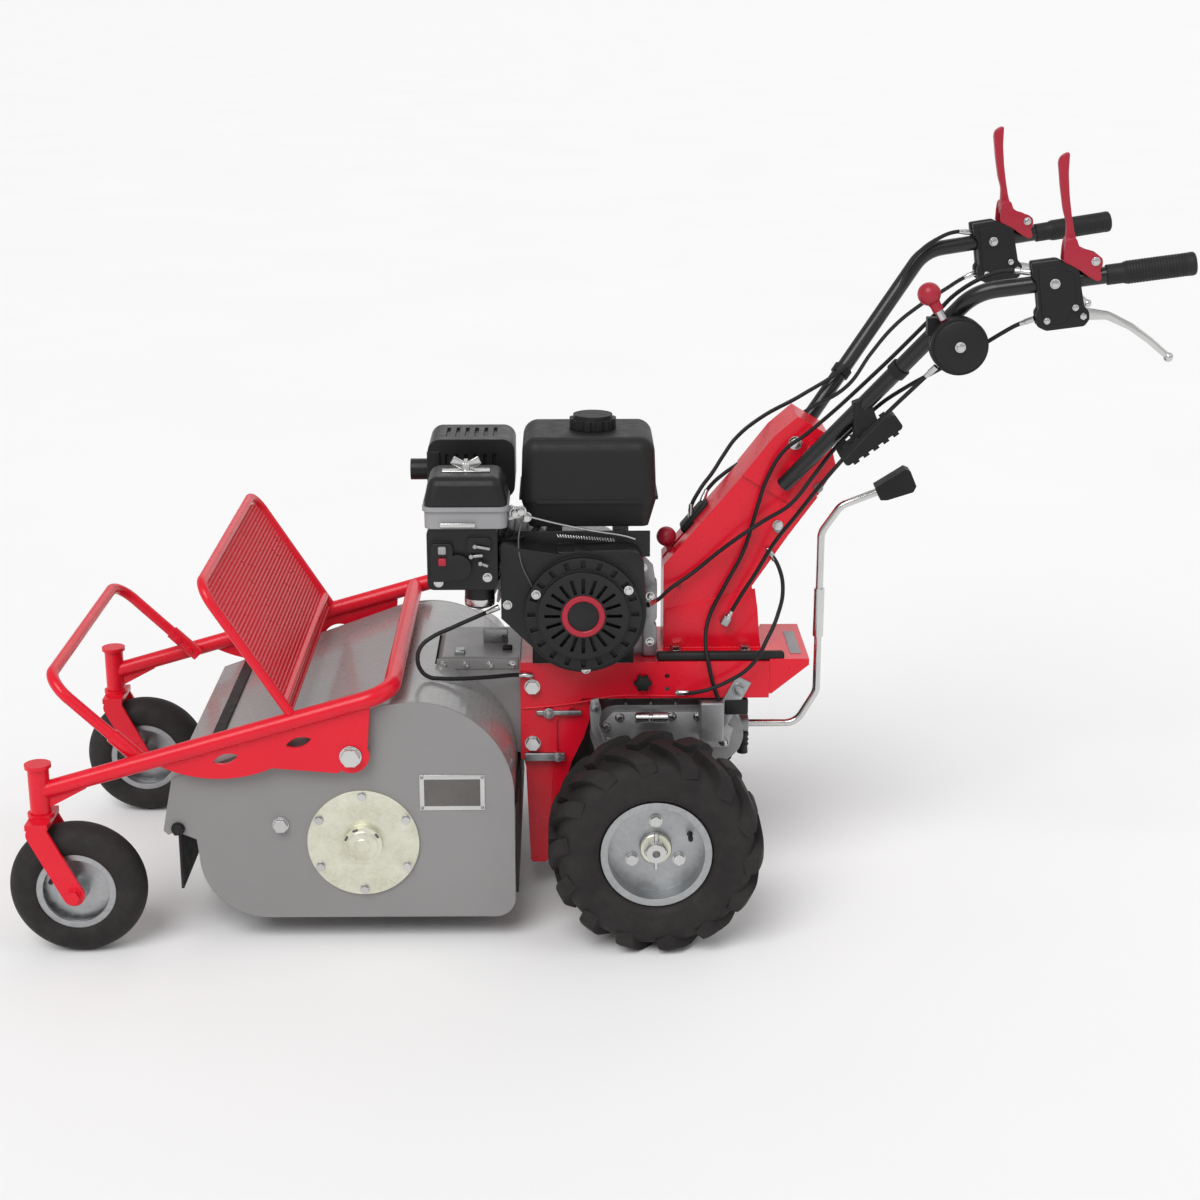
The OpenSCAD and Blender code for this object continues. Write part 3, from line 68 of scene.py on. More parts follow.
def addStudio(setup):
    bm = bmesh.new()
    bmesh.ops.create_grid(bm, x_segments=1, y_segments=1, size=setup["floorSize"])
    floor = meshPiece("floor", bm, floorMaterial(setup["floorColor"]))
    scene.view_settings.view_transform = "Standard"
    world = bpy.data.worlds.new("studioWorld")
    scene.world = world
    world.use_nodes = True
    tree = world.node_tree
    light = tree.nodes["Background"]
    feed(tree, light.inputs["Color"], setup["worldColor"])
    feed(tree, light.inputs["Strength"], setup["worldStrength"])
    # past the floor's edge the camera sees the floor's own pale tone
    seen = addNode(tree, "Background", 0, {"Color": setup["horizonColor"]})
    rays = addNode(tree, "LightPath", "Is Camera Ray", {})
    mix = addNode(tree, "MixShader", 0, {0: rays, 1: light.outputs[0], 2: seen})
    feed(tree, tree.nodes["World Output"].inputs["Surface"], mix)
    for k, (place, spread, power) in enumerate(setup["lamps"]):
        # a wide sun lamp lights the floor evenly and keeps its shadows soft
        data = bpy.data.lights.new("softLight%d" % k, "SUN")
        data.angle = math.radians(spread)
        data.energy = power
        lamp = addObject("softLight%d" % k, data)
        lamp.location = place
        lamp.rotation_euler = (-Vector(place)).to_track_quat("-Z", "Y").to_euler()


def meshPiece(name, bm, material, smooth=None):
    # smooth is the angle, in degrees, from which an edge stays sharp
    mesh = bpy.data.meshes.new(name)
    if smooth is not None:
        limit = math.radians(smooth)
        for f in bm.faces:
            f.smooth = True
        for e in bm.edges:
            e.smooth = e.is_manifold and e.calc_face_angle(0) < limit
    bm.to_mesh(mesh)
    bm.free()
    mesh.materials.append(material)
    return addObject(name, mesh)


def placePiece(name, shape, finishName, smooth=32, body="machine", hides=()):
    # a shape or a list of shapes as a piece on its body, with its named finish; the frame's nodes listed in hides are
    # hidden
    bm = joined(shape) if isinstance(shape, list) else shape
    obj = meshPiece(name, bm, finishes[finishName], smooth)
    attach(obj, body)
    if hides:
        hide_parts(*hides)
    return obj


# shader nodes and the groups shared by the finishes
def feed(tree, socket, value):
    # a socket takes a link from another node, a colour or a plain value
    if isinstance(value, bpy.types.NodeSocket):
        tree.links.new(value, socket)
    elif socket.type == "RGBA":
        socket.default_value = (*value, 1)
    else:
        socket.default_value = value


def addNode(tree, kind, output, inputs, **settings):
    node = tree.nodes.new("ShaderNode" + kind)
    for label, value in settings.items():
        setattr(node, label, value)
    for label, value in inputs.items():
        feed(tree, node.inputs[label], value)
    return node.outputs[output]


def mathNode(tree, operation, a, b, clamp=False):
    return addNode(tree, "Math", 0, {0: a, 1: b}, operation=operation, use_clamp=clamp)


def noiseNode(tree, vector, scale, detail=3.0, rough=0.55):
    return addNode(tree, "TexNoise", "Fac", {"Vector": vector, "Scale": scale, "Detail": detail, "Roughness": rough})


def rampNode(tree, value, low, high, to=(0.0, 1.0)):
    return addNode(tree, "MapRange", "Result", {"Value": value, "From Min": low, "From Max": high, "To Min": to[0],
            "To Max": to[1]})


def mixColor(tree, factor, a, b):
    return addNode(tree, "Mix", 2, {0: factor, 6: a, 7: b}, data_type="RGBA")


def newGroup(name, inputs, outputs):
    # a group that takes a vector and numbers, and puts out numbers and, where named, a normal
    group = bpy.data.node_groups.new(name, "ShaderNodeTree")
    group.interface.new_socket("Vector", in_out="INPUT", socket_type="NodeSocketVector")
    for label, value in inputs.items():
        group.interface.new_socket(label, in_out="INPUT", socket_type="NodeSocketFloat").default_value = value
    for label in outputs:
        kind = "NodeSocketVector" if label == "Normal" else "NodeSocketFloat"
        group.interface.new_socket(label, in_out="OUTPUT", socket_type=kind)
    return group, group.nodes.new("NodeGroupInput").outputs, group.nodes.new("NodeGroupOutput").inputs


def makeToneGroup():
    # broad shading of the colour, fine roughness scatter and a grain height
    group, start, end = newGroup("toneAndGrain", {"Tone Scale": 6.0, "Grain Scale": 900.0},
        ["Tone", "Scatter", "Grain"])
    vector, broad = start["Vector"], start["Tone Scale"]
    fine = mathNode(group, "MULTIPLY", broad, 9.0)
    feed(group, end["Tone"], rampNode(group, noiseNode(group, vector, broad), 0.3, 0.7))
    feed(group, end["Scatter"], rampNode(group, noiseNode(group, vector, fine, 4.0), 0.3, 0.7))
    feed(group, end["Grain"], noiseNode(group, vector, start["Grain Scale"], 2.0))
    return group


def makeDustGroup():
    # pale dust that thickens towards the ground, broken up by noise
    group, start, end = newGroup("groundDust", {"Height": 0.35, "Amount": 0.3}, ["Mask"])
    height = addNode(group, "SeparateXYZ", "Z", {0: start["Vector"]})
    low = mathNode(group, "SUBTRACT", 1.0, mathNode(group, "DIVIDE", height, start["Height"]), True)
    speck = rampNode(group, noiseNode(group, start["Vector"], 22.0, 6.0, 0.7), 0.42, 0.72)
    mask = mathNode(group, "MULTIPLY", low, speck)
    feed(group, end["Mask"], mathNode(group, "MULTIPLY", mask, start["Amount"], True))
    return group


def makeSpangleGroup():
    # zinc crystals: cells with their own brightness
    group, start, end = newGroup("zincSpangle", {"Cell Scale": 160.0}, ["Cell"])
    cell = addNode(group, "TexVoronoi", "Color", {"Vector": start["Vector"], "Scale": start["Cell Scale"]})
    feed(group, end["Cell"], addNode(group, "SeparateColor", 0, {0: cell}))
    return group


def makeEdgeGroup():
    # a normal that rounds the edges, and a mask along them broken up by noise, which lightens the edges: a painted
    # edge highlight, with thinner paint there too
    group, start, end = newGroup("softEdges", {"Radius": 0.0012}, ["Normal", "Edge Sheen"])
    soft = addNode(group, "Bevel", "Normal", {"Radius": start["Radius"]})
    flat = addNode(group, "NewGeometry", "Normal", {})
    turn = addNode(group, "VectorMath", "Value", {0: soft, 1: flat}, operation="DOT_PRODUCT")
    edge = rampNode(group, mathNode(group, "SUBTRACT", 1.0, turn), 0.01, 0.16)
    sheenBreakup = rampNode(group, noiseNode(group, start["Vector"], 90.0, 5.0, 0.65), 0.38, 0.66)
    feed(group, end["Normal"], soft)
    feed(group, end["Edge Sheen"], mathNode(group, "MULTIPLY", edge, sheenBreakup, True))
    return group


groups = {"tone": makeToneGroup(), "dust": makeDustGroup(), "spangle": makeSpangleGroup(), "edges": makeEdgeGroup()}
surface = {"toneScale": 6.0, "sparkShare": 0.35, "sparkRough": 0.12, "dustHeight": 0.4,
    "dustColor": (0.34, 0.31, 0.27), "dustRough": 0.4, "edge": 1.2, "bumpDepth": 0.0004, "coatRough": 0.1}


def useGroup(tree, groupName, vector, values):
    node = tree.nodes.new("ShaderNodeGroup")
    node.node_tree = groups[groupName]
    for label, value in {"Vector": vector, **values}.items():
        feed(tree, node.inputs[label], value)
    return node.outputs


def finish(name, spec):
    # one finish from its dictionary: two colours, roughness span, grain, dust, spangle, and a painted highlight along
    # the edges
    material = bpy.data.materials.new(name)
    material.use_nodes = True
    tree = material.node_tree
    coords = addNode(tree, "TexCoord", "Object", {})
    toneScale = spec.get("toneScale", surface["toneScale"])
    tone = useGroup(tree, "tone", coords, {"Tone Scale": toneScale, "Grain Scale": spec["grain"]})
    color = mixColor(tree, tone["Tone"], *spec["tones"])
    rough = rampNode(tree, tone["Scatter"], 0.0, 1.0, spec["rough"])

    def rougher(mask, share):
        return mathNode(tree, "ADD", rough, mathNode(tree, "MULTIPLY", mask, share), True)

    if "spangle" in spec:
        cell = useGroup(tree, "spangle", coords, {"Cell Scale": spec["spangle"]})["Cell"]
        color = mixColor(tree, mathNode(tree, "MULTIPLY", cell, surface["sparkShare"]), color, spec["spark"])
        rough = rougher(cell, surface["sparkRough"])
    if "dust" in spec:
        height = spec.get("dustHeight", surface["dustHeight"])
        mask = useGroup(tree, "dust", coords, {"Height": height, "Amount": spec["dust"]})["Mask"]
        color = mixColor(tree, mask, color, surface["dustColor"])
        rough = rougher(mask, surface["dustRough"])
    edges = useGroup(tree, "edges", coords, {"Radius": spec.get("edge", surface["edge"]) / 1000})
    # a lighter colour along the edges: painted edge highlight, with thinner paint there too
    if "edgeSheen" in spec:
        color = mixColor(tree, mathNode(tree, "MULTIPLY", edges["Edge Sheen"], spec["edgeSheen"]), color, spec["sheenColor"])
    normal = addNode(tree, "Bump", "Normal", {"Strength": spec["bump"], "Distance": surface["bumpDepth"],
            "Height": tone["Grain"], "Normal": edges["Normal"]})
    values = {"Base Color": color, "Roughness": rough, "Normal": normal, "Metallic": spec.get("metal", 0.0),
        "Specular IOR Level": spec.get("shine", 0.5), "Coat Weight": spec.get("coat", 0.0),
        "Coat Roughness": surface["coatRough"]}
    for label, value in values.items():
        feed(tree, tree.nodes["Principled BSDF"].inputs[label], value)
    return material


def floorMaterial(color):
    return finish("paleFloor", {"tones": (tuple(c * 0.985 for c in color), color), "rough": (0.7, 0.8), "shine": 0.1,
            "grain": 60.0, "bump": 0.02, "toneScale": 1.2})


# finishes, each with its slot and the frame's nodes that wear it, where one name stands for a left and a right node
# a finish's lighter edge colour and its share paint a highlight along its edges
finishSpecs = {
    "redPaint": {"slot": "red_paint", "tones": ((0.70, 0.005, 0.022), (0.75, 0.007, 0.026)), "rough": (0.26, 0.34),
        "coat": 0.15, "shine": 0.3, "grain": 380.0, "bump": 0.012, "dust": 0.02, "edgeSheen": 0.3,
        "sheenColor": (0.80, 0.05, 0.07), "nodes": ["chassis", "stand_legs", "rear_guard", "post", "post_bracket",
        "frame_tube", "front_hoop", "guard_frame", "guard_mesh", "castor_fork"]},
    "redLever": {"slot": "lever_red", "tones": ((0.36, 0.012, 0.030), (0.40, 0.016, 0.038)), "rough": (0.34, 0.44),
        "coat": 0.1, "shine": 0.35, "grain": 900.0, "bump": 0.05, "edgeSheen": 0.3, "sheenColor": (0.55, 0.08, 0.11),
        "nodes": ["clutch_lever", "throttle_lever", "ball_lever"]},
    "plateGrey": {"slot": "deck_grey", "tones": ((0.235, 0.228, 0.228), (0.255, 0.248, 0.248)), "rough": (0.38, 0.48),
        "coat": 0.1, "grain": 520.0, "bump": 0.08, "dust": 0.06, "edgeSheen": 0.4, "sheenColor": (0.40, 0.39, 0.38),
        "nodes": ["side_plate", "drive_neck"]},
    "hoodGrey": {"slot": "deck_grey", "tones": ((0.265, 0.26, 0.258), (0.295, 0.29, 0.287)), "rough": (0.24, 0.34),
        "coat": 0.4, "grain": 520.0, "bump": 0.05, "dust": 0.05, "edgeSheen": 0.4, "sheenColor": (0.45, 0.44, 0.43),
        "nodes": ["hood", "belt_cover"]},
    "blackPaint": {"tones": ((0.008, 0.008, 0.009), (0.012, 0.012, 0.013)), "rough": (0.26, 0.36), "coat": 0.25,
        "shine": 0.35, "grain": 600.0, "bump": 0.05, "dust": 0.03, "edgeSheen": 0.3, "sheenColor": (0.05, 0.05, 0.05),
        "nodes": ["handlebar"]},
    "tankBlack": {"tones": ((0.010, 0.010, 0.010), (0.015, 0.014, 0.014)), "rough": (0.46, 0.58), "shine": 0.3,
        "grain": 1100.0, "bump": 0.14, "edge": 2.0, "nodes": ["fuel_tank", "fuel_cap"]},
    "engineBlack": {"slot": "black_plastic", "tones": ((0.007, 0.007, 0.008), (0.012, 0.012, 0.013)),
        "rough": (0.34, 0.48), "shine": 0.35, "grain": 900.0, "bump": 0.14, "edge": 2.0, "edgeSheen": 0.25,
        "sheenColor": (0.05, 0.05, 0.05), "nodes": ["muffler", "recoil_cover", "carburettor", "air_cleaner_lid"]},
    "mouldedBlack": {"slot": "black_plastic", "tones": ((0.009, 0.009, 0.010), (0.014, 0.014, 0.015)),
        "rough": (0.46, 0.6), "shine": 0.3, "grain": 1300.0, "bump": 0.18, "edge": 1.6,
        "nodes": ["lever_perches", "throttle_housing", "cable_clips", "gear_knob", "control_cables"]},
    "mouldedGrey": {"slot": "grey_plastic", "tones": ((0.27, 0.27, 0.28), (0.33, 0.33, 0.34)), "rough": (0.5, 0.62),
        "shine": 0.35, "grain": 1500.0, "bump": 0.18, "edge": 1.6, "nodes": ["air_cleaner_base"]},
    "zincSteel": {"slot": "zinc", "tones": ((0.32, 0.33, 0.34), (0.42, 0.43, 0.44)), "spark": (0.58, 0.59, 0.60),
        "rough": (0.26, 0.38), "metal": 1.0, "grain": 500.0, "bump": 0.05, "spangle": 170.0, "dust": 0.08,
        "nodes": ["drive_rim", "castor_rim"]},
    "brightSteel": {"slot": "bright_steel", "tones": ((0.54, 0.54, 0.54), (0.66, 0.66, 0.65)), "rough": (0.18, 0.30),
        "metal": 1.0, "grain": 900.0, "bump": 0.05, "edge": 0.6,
        "nodes": ["bolts", "brake_lever", "gear_rod", "drive_axle", "jackshaft"]},
    "yellowZinc": {"slot": "zinc", "tones": ((0.60, 0.60, 0.46), (0.80, 0.80, 0.68)), "spark": (0.90, 0.90, 0.80),
        "rough": (0.28, 0.40), "metal": 1.0, "toneScale": 26.0, "grain": 600.0, "bump": 0.06, "spangle": 260.0,
        "nodes": ["bearing_covers"]},
    "castAlloy": {"slot": "cast_alloy", "tones": ((0.30, 0.30, 0.31), (0.42, 0.42, 0.43)), "rough": (0.42, 0.58),
        "metal": 0.9, "toneScale": 14.0, "grain": 420.0, "bump": 0.3, "dust": 0.12, "edge": 2.0,
        "nodes": ["gearbox", "engine_block"]},
    "tyreRubber": {"tones": ((0.012, 0.010, 0.010), (0.020, 0.017, 0.017)), "rough": (0.6, 0.76), "shine": 0.3,
        "grain": 700.0, "bump": 0.22, "dust": 0.05, "dustHeight": 0.5, "edge": 2.2,
        "nodes": ["drive_tyre", "castor_tyre"]},
    "flapRubber": {"slot": "rubber", "tones": ((0.008, 0.008, 0.008), (0.014, 0.014, 0.014)), "rough": (0.5, 0.66),
        "shine": 0.35, "grain": 600.0, "bump": 0.22, "dust": 0.05,
        "nodes": ["handle_grips", "rear_flap", "front_flap", "drive_belt"]},
    "forgedSteel": {"slot": "rotor_steel", "tones": ((0.10, 0.095, 0.09), (0.18, 0.17, 0.165)), "rough": (0.4, 0.6),
        "metal": 0.8, "grain": 300.0, "bump": 0.3, "nodes": ["rotor", "flails_front", "flails_rear"]},
}
finishes = {name: finish(name, spec) for name, spec in finishSpecs.items()}

finishOf = {name: finishName for finishName, spec in finishSpecs.items() for name in spec["nodes"]}
for name, node in nodes.items():
    node.data.materials.clear()
    node.data.materials.append(finishes[finishOf[name.removesuffix("_left").removesuffix("_right")]])
addCamera(cameraSetup)
addStudio(studio)
print("camera, light and finishes set")

# places are in millimetres from the drive axle's ground point, and the machine's front is -X, its left -Y, its top Z
axleX = 0.1088
bothSides = (("left", -1), ("right", 1))
leftward, rightward, rearward = (0, -1, 0), (0, 1, 0), (1, 0, 0)
upward, downward = (0, 0, 1), (0, 0, -1)
smallBolt = (9, 4.5, 7.5)
boltHead = {"seat": 1.2, "chamfer": 1 / 12, "washerTop": 1.4, "washerRim": 1.0, "washerBevel": 0.4}
lookFrom = 700
sharpTurn = 0.8


def at(x, y, z):
    return Vector((x / 1000 + axleX, y / 1000, z / 1000))


def facing(place, direction):
    return Matrix.Translation(place) @ Vector(direction).to_track_quat("Z", "Y").to_matrix().to_4x4()


def tilted(place, angle):
    # turned in the machine's side view
    return Matrix.Translation(place) @ Matrix.Rotation(angle, 4, "Y")


def moved(bm, matrix):
    bmesh.ops.transform(bm, matrix=matrix, verts=bm.verts)
    return bm


def joined(parts):
    # finished shapes brought together in one piece
    bm = bmesh.new()
    for part in parts:
        mesh = bpy.data.meshes.new("part")
        part.to_mesh(mesh)
        part.free()
        bm.from_mesh(mesh)
        bpy.data.meshes.remove(mesh)
    return bm


def turned(profile, steps=28, closed=False):
    # a profile of radius and height, spun round Z
    bm = bmesh.new()
    verts = [bm.verts.new((r / 1000, 0, h / 1000)) for r, h in profile]
    edges = [bm.edges.new(pair) for pair in zip(verts, verts[1:])]
    if closed:
        edges.append(bm.edges.new((verts[-1], verts[0])))
    bmesh.ops.spin(bm, geom=verts + edges, cent=(0, 0, 0), axis=upward, angle=math.tau, steps=steps, use_merge=True)
    bmesh.ops.remove_doubles(bm, verts=bm.verts, dist=1e-6)
    bmesh.ops.recalc_face_normals(bm, faces=bm.faces)
    return bm


def turnedAt(profile, place, direction, steps=28, closed=False):
    return moved(turned(profile, steps, closed), facing(at(*place), direction))


def soften(bm, geom, offset, segments, affect="EDGES", clamp=False):
    bmesh.ops.bevel(bm, geom=geom, offset=offset / 1000, segments=segments, profile=0.5, affect=affect, material=-1,
        clamp_overlap=clamp)


def hexHead(size):
    # bolt head with a chamfered top on a flat washer: width across flats, height and washer radius
    across, height, washer = size
    bm = bmesh.new()
    radius = across / 1000 / math.sqrt(3)
    bmesh.ops.create_cone(bm, cap_ends=True, segments=6, radius1=radius, radius2=radius, depth=height / 1000)
    bmesh.ops.translate(bm, verts=bm.verts, vec=(0, 0, (height / 2 + boltHead["seat"]) / 1000))
    top = [e for e in bm.edges if min(v.co.z for v in e.verts) > height / 1000]
    soften(bm, top, across * boltHead["chamfer"], 2)
    rim, top = boltHead["washerRim"], boltHead["washerTop"]
    return joined([bm, turned([(0, 0), (washer, 0), (washer, rim), (washer - boltHead["washerBevel"], top),
            (0, top)])])


def boltAt(place, direction, size=smallBolt):
    return moved(hexHead(size), facing(at(*place), direction))


def roundedBox(size, radius=1.2, segments=3):
    bm = bmesh.new()
    bmesh.ops.create_cube(bm, size=1.0)
    bmesh.ops.scale(bm, verts=bm.verts, vec=[s / 1000 for s in size])
    soften(bm, bm.edges[:], radius, segments)
    return bm


def boxAt(size, place, tilt=0.0, radius=1.2):
    return moved(roundedBox(size, radius), tilted(at(*place), math.radians(-tilt)))


def thicken(bm, depth):
    # the flat faces drawn so far, grown along Y
    grown = bmesh.ops.extrude_face_region(bm, geom=bm.faces[:])["geom"]
    lifted = [v for v in grown if isinstance(v, bmesh.types.BMVert)]
    bmesh.ops.translate(bm, verts=lifted, vec=(0, depth / 1000, 0))
    bmesh.ops.recalc_face_normals(bm, faces=bm.faces)


def plate(outline, near, far, soft=0.8):
    # a flat plate from an outline of x and z, between two y, with softened edges
    bm = bmesh.new()
    bm.faces.new([bm.verts.new(at(x, near, z)) for x, z in outline])
    thicken(bm, far - near)
    soften(bm, bm.edges[:], soft, 2)
    return bm


def shaped(outline, corner, soft, near, far, segments=3):
    # a plate between two y about its own origin, with rounded corners and soft rims
    bm = bmesh.new()
    bm.faces.new([bm.verts.new((u / 1000, near / 1000, v / 1000)) for u, v in outline])
    soften(bm, bm.verts[:], corner, 4, "VERTICES", True)
    bmesh.ops.remove_doubles(bm, verts=bm.verts, dist=1e-5)
    thicken(bm, far - near)
    rims = [e for e in bm.edges if e.calc_face_angle(0) > sharpTurn]
    soften(bm, rims, soft, segments, clamp=True)
    return bm


def mirrored(outline, corner, soft, near, far):
    return [shaped(outline, corner, soft, *span) for span in ((-far, -near), (near, far))]


def tubeAlong(points, radius, smooth=True, sides=3):
    # a round tube on a curve or a straight line through the points
    data = bpy.data.curves.new("route", "CURVE")
    data.dimensions = "3D"
    data.bevel_depth = radius / 1000
    data.bevel_resolution = sides
    data.resolution_u = 8
    data.use_fill_caps = True
    line = data.splines.new("BEZIER" if smooth else "POLY")
    knots = line.bezier_points if smooth else line.points
    knots.add(len(points) - 1)
    for knot, p in zip(knots, points):
        if smooth:
            knot.co = p
            knot.handle_left_type = knot.handle_right_type = "AUTO"
        else:
            knot.co = (*p, 1)
    obj = addObject("route", data)
    mesh = bpy.data.meshes.new_from_object(obj.evaluated_get(bpy.context.evaluated_depsgraph_get()))
    bm = bmesh.new()
    bm.from_mesh(mesh)
    bpy.data.objects.remove(obj)
    bpy.data.curves.remove(data)
    bpy.data.meshes.remove(mesh)
    return bm


def wireAlong(route, radius):
    return tubeAlong([at(*p) for p in route], radius)


def seat(nodeName, place, direction):
    # where a straight look from outside first meets a node
    hit, spot, normal, face = nodes[nodeName].ray_cast(at(*place), Vector(direction))
    if not hit:
        raise RuntimeError("nothing to seat on: %s at %s" % (nodeName, place))
    return spot


def seatSide(nodeName, x, z, sign):
    return seat(nodeName, (x, sign * lookFrom, z), (0, -sign, 0))


def onSide(shape, nodeName, x, z, sign=-1):
    return moved(shape, facing(seatSide(nodeName, x, z, sign), (0, sign, 0)))


def ringSpot(centre, radius, turn):
    # a place on a circle in the side view
    x, y, z = centre
    return x + radius * math.cos(turn), y, z + radius * math.sin(turn)


# control cables, on the same routes as the solid ones
cable = {"radius": 3.3, "ferrule": [(0, 0), (4.6, 0), (4.6, 13), (4.0, 14), (3.7, 22), (0, 22)],
    "lengths": {"clutchRight": 0.705, "brakeRight": 0.624, "clutchLeft": 0.960, "brakeLeft": 0.806, "throttle": 0.564,
        "selector": 0.339, "deckClutch": 0.369}}
cableRoutes = {
    "clutchRight": [(536.5, 231, 1035), (515, 226, 1037), (485, 214, 1030), (440, 196, 1000), (410, 168, 948),
        (365, 142, 890), (320, 112, 835), (250, 100, 790), (180, 82, 755), (140, 68, 725), (120, 56, 700),
        (102, 40, 676), (80, 24, 650), (66, 18, 622), (66, 18, 607)],
    "brakeRight": [(546.2, 232, 968), (525, 224, 960), (495, 208, 945), (445, 186, 918), (405, 166, 890),
        (365, 140, 850), (325, 114, 802), (250, 74, 766), (190, 66, 716), (144, 62, 684), (120, 54, 669),
        (101, 43, 655), (90, 35, 642), (84, 30, 628)],
    "clutchLeft": [(536.5, -231, 1035), (515, -226, 1037), (485, -214, 1030), (440, -198, 1002), (410, -182, 966),
        (335, -132, 872), (240, -72, 764), (205, -66, 735), (180, -62, 690), (165, -60, 640), (145, -58, 570),
        (115, -58, 510), (92, -60, 460), (86, -84, 428), (90, -98, 398), (102, -98, 350), (112, -91, 325),
        (116, -82, 314)],
    "brakeLeft": [(546.2, -232, 968), (525, -222, 958), (505, -212, 944), (485, -200, 928), (420, -166, 880),
        (380, -140, 850), (340, -108, 812), (285, -88, 748), (250, -86, 700), (215, -88, 655), (175, -76, 625),
        (140, -72, 600), (105, -62, 570), (65, -58, 535), (30, -66, 512), (10, -100, 505), (-8, -130, 505)],
    "throttle": [(406, -236, 899), (380, -222, 868), (345, -200, 825), (305, -182, 775), (262, -160, 716),
        (222, -116, 645), (190, -86, 590), (165, -74, 540), (142, -68, 500), (118, -64, 455)],
    "selector": [(185, -49.3, 572), (202, -66, 545), (208, -74, 510), (200, -86, 475), (182, -106, 440),
        (158, -114, 400), (120, -114, 372), (66, -110, 352), (40, -96, 348)],
    "deckClutch": [(-240, -122, 500), (-266, -124, 489), (-310, -131, 471), (-348, -141, 455), (-361.5, -147, 444),
        (-367, -153, 426.4), (-361.5, -158, 408.6), (-349, -160, 398.3), (-333, -159, 395.5), (-300, -149, 391.5),
        (-272, -135, 388), (-245, -119, 384.5), (-216, -102, 381), (-190, -96, 378)],
}
for routeName, route in cableRoutes.items():
    points = [at(*p) for p in route]
    wire = tubeAlong(points, 0)
    piece = placePiece("cable_" + routeName, tubeAlong(points, cable["radius"]), "mouldedBlack", smooth=60,
        hides=["control_cables"])
    tips = ((points[0], points[1]), (points[-1], points[-2]))
    ferrules = [moved(turned(cable["ferrule"], 24), facing(tip, inner - tip)) for tip, inner in tips]
    ends = placePiece("cableEnds_" + routeName, ferrules, "brightSteel", smooth=35)
print("cables laid")

# hand grips: a plain collar, then fine rings to a rounded end
grip = {"length": 128.0, "overhang": 4.5, "barRear": (766, 250, 1050), "barKnee": (460, 226, 1006), "bore": 12.65,
    "collar": [(13.8, 0), (14.8, 1), (14.8, 23), (15.4, 25.5), (16.4, 27)], "root": 16.1, "rings": 20, "pitch": 4.3,
    "ringStart": 29, "ring": [(16.7, 0.7), (16.9, 1.2), (16.9, 3.1), (16.7, 3.6)], "boreEnd": 124,
    "end": [(16.9, 117), (17.2, 122), (16.4, 125.6), (14, 127.4), (10, 128), (0, 128), (0, 124)]}


def barEnds(sign):
    # knee and rear end of a handlebar's last straight run
    return [at(x, sign * y, z) for x, y, z in (grip["barKnee"], grip["barRear"])]


profile = [(grip["bore"], 0)] + grip["collar"]
for k in range(grip["rings"]):
    low = grip["ringStart"] + grip["pitch"] * k
    profile += [(grip["root"], low)] + [(r, low + h) for r, h in grip["ring"]]
profile += grip["end"] + [(grip["bore"], grip["boreEnd"])]
for side, sign in bothSides:
    knee, rear = barEnds(sign)
    along = (rear - knee).normalized()
    start = rear + along * (grip["overhang"] - grip["length"]) / 1000
    placePiece("grip_" + side, moved(turned(profile, 44, True), facing(start, along)), "flapRubber", smooth=40,
        hides=["handle_grips"])
print("grips made")

# wire mesh of the guard: cross wires and sloping wires inside the guard tube
meshGuard = {"foot": (-544, 373.4), "top": (-677, 583), "low": 0.035, "high": 0.965, "half": 262, "corner": 30,
    "cross": 34, "slope": 62, "wire": 1.3, "lift": 0.6}
half, corner, lift = meshGuard["half"], meshGuard["corner"], meshGuard["lift"]
low, high = meshGuard["low"], meshGuard["high"]
sloped = Vector((meshGuard["top"][0] - meshGuard["foot"][0], 0, meshGuard["top"][1] - meshGuard["foot"][1]))
meshLength = sloped.length * (high - low)


def meshPoint(u, y, rise):
    spot = sloped * (low + (high - low) * u) + Vector((sloped.z, 0, -sloped.x)).normalized() * rise
    return at(meshGuard["foot"][0] + spot.x, y, meshGuard["foot"][1] + spot.z)


def cornerCut(u):
    # the guard tube's upper corners are round, so the wires there are shorter
    above = u * meshLength - (meshLength - corner)
    return corner - math.sqrt(max(corner * corner - above * above, 0)) if above > 0 else 0.0


spans = []
for k in range(meshGuard["cross"]):
    u = (k + 0.5) / meshGuard["cross"]
    y = half - cornerCut(u)
    spans.append([meshPoint(u, -y, lift), meshPoint(u, y, lift)])
for k in range(meshGuard["slope"]):
    y = half * (2 * (k + 0.5) / meshGuard["slope"] - 1)
    edge = abs(y) - (half - corner)
    cut = cornerCut(1 - (corner - edge) / meshLength) if edge > 0 else 0
    spans.append([meshPoint(0, y, -lift), meshPoint(1 - cut / meshLength, y, -lift)])
wires = [tubeAlong(span, meshGuard["wire"], smooth=False, sides=1) for span in spans]
placePiece("guardWires", wires, "redPaint", smooth=50, body="castor_carrier", hides=["guard_mesh"])
print("guard mesh woven")
bpy.context.view_layer.update()

# bolt heads and washers that are too small for the solids
sideBolts = {
    "recoil_cover": [(-181.5, 532.5), (-39.2, 538.7), (-226, 512), (-105, 406.5)],
    "carburettor": [(-331, 552), (-256, 560)],
}
heads = []
for nodeName, spots in sideBolts.items():
    for x, z in spots:
        heads.append(onSide(hexHead(smallBolt), nodeName, x, z))
placePiece("smallBolts", heads, "brightSteel", smooth=30)

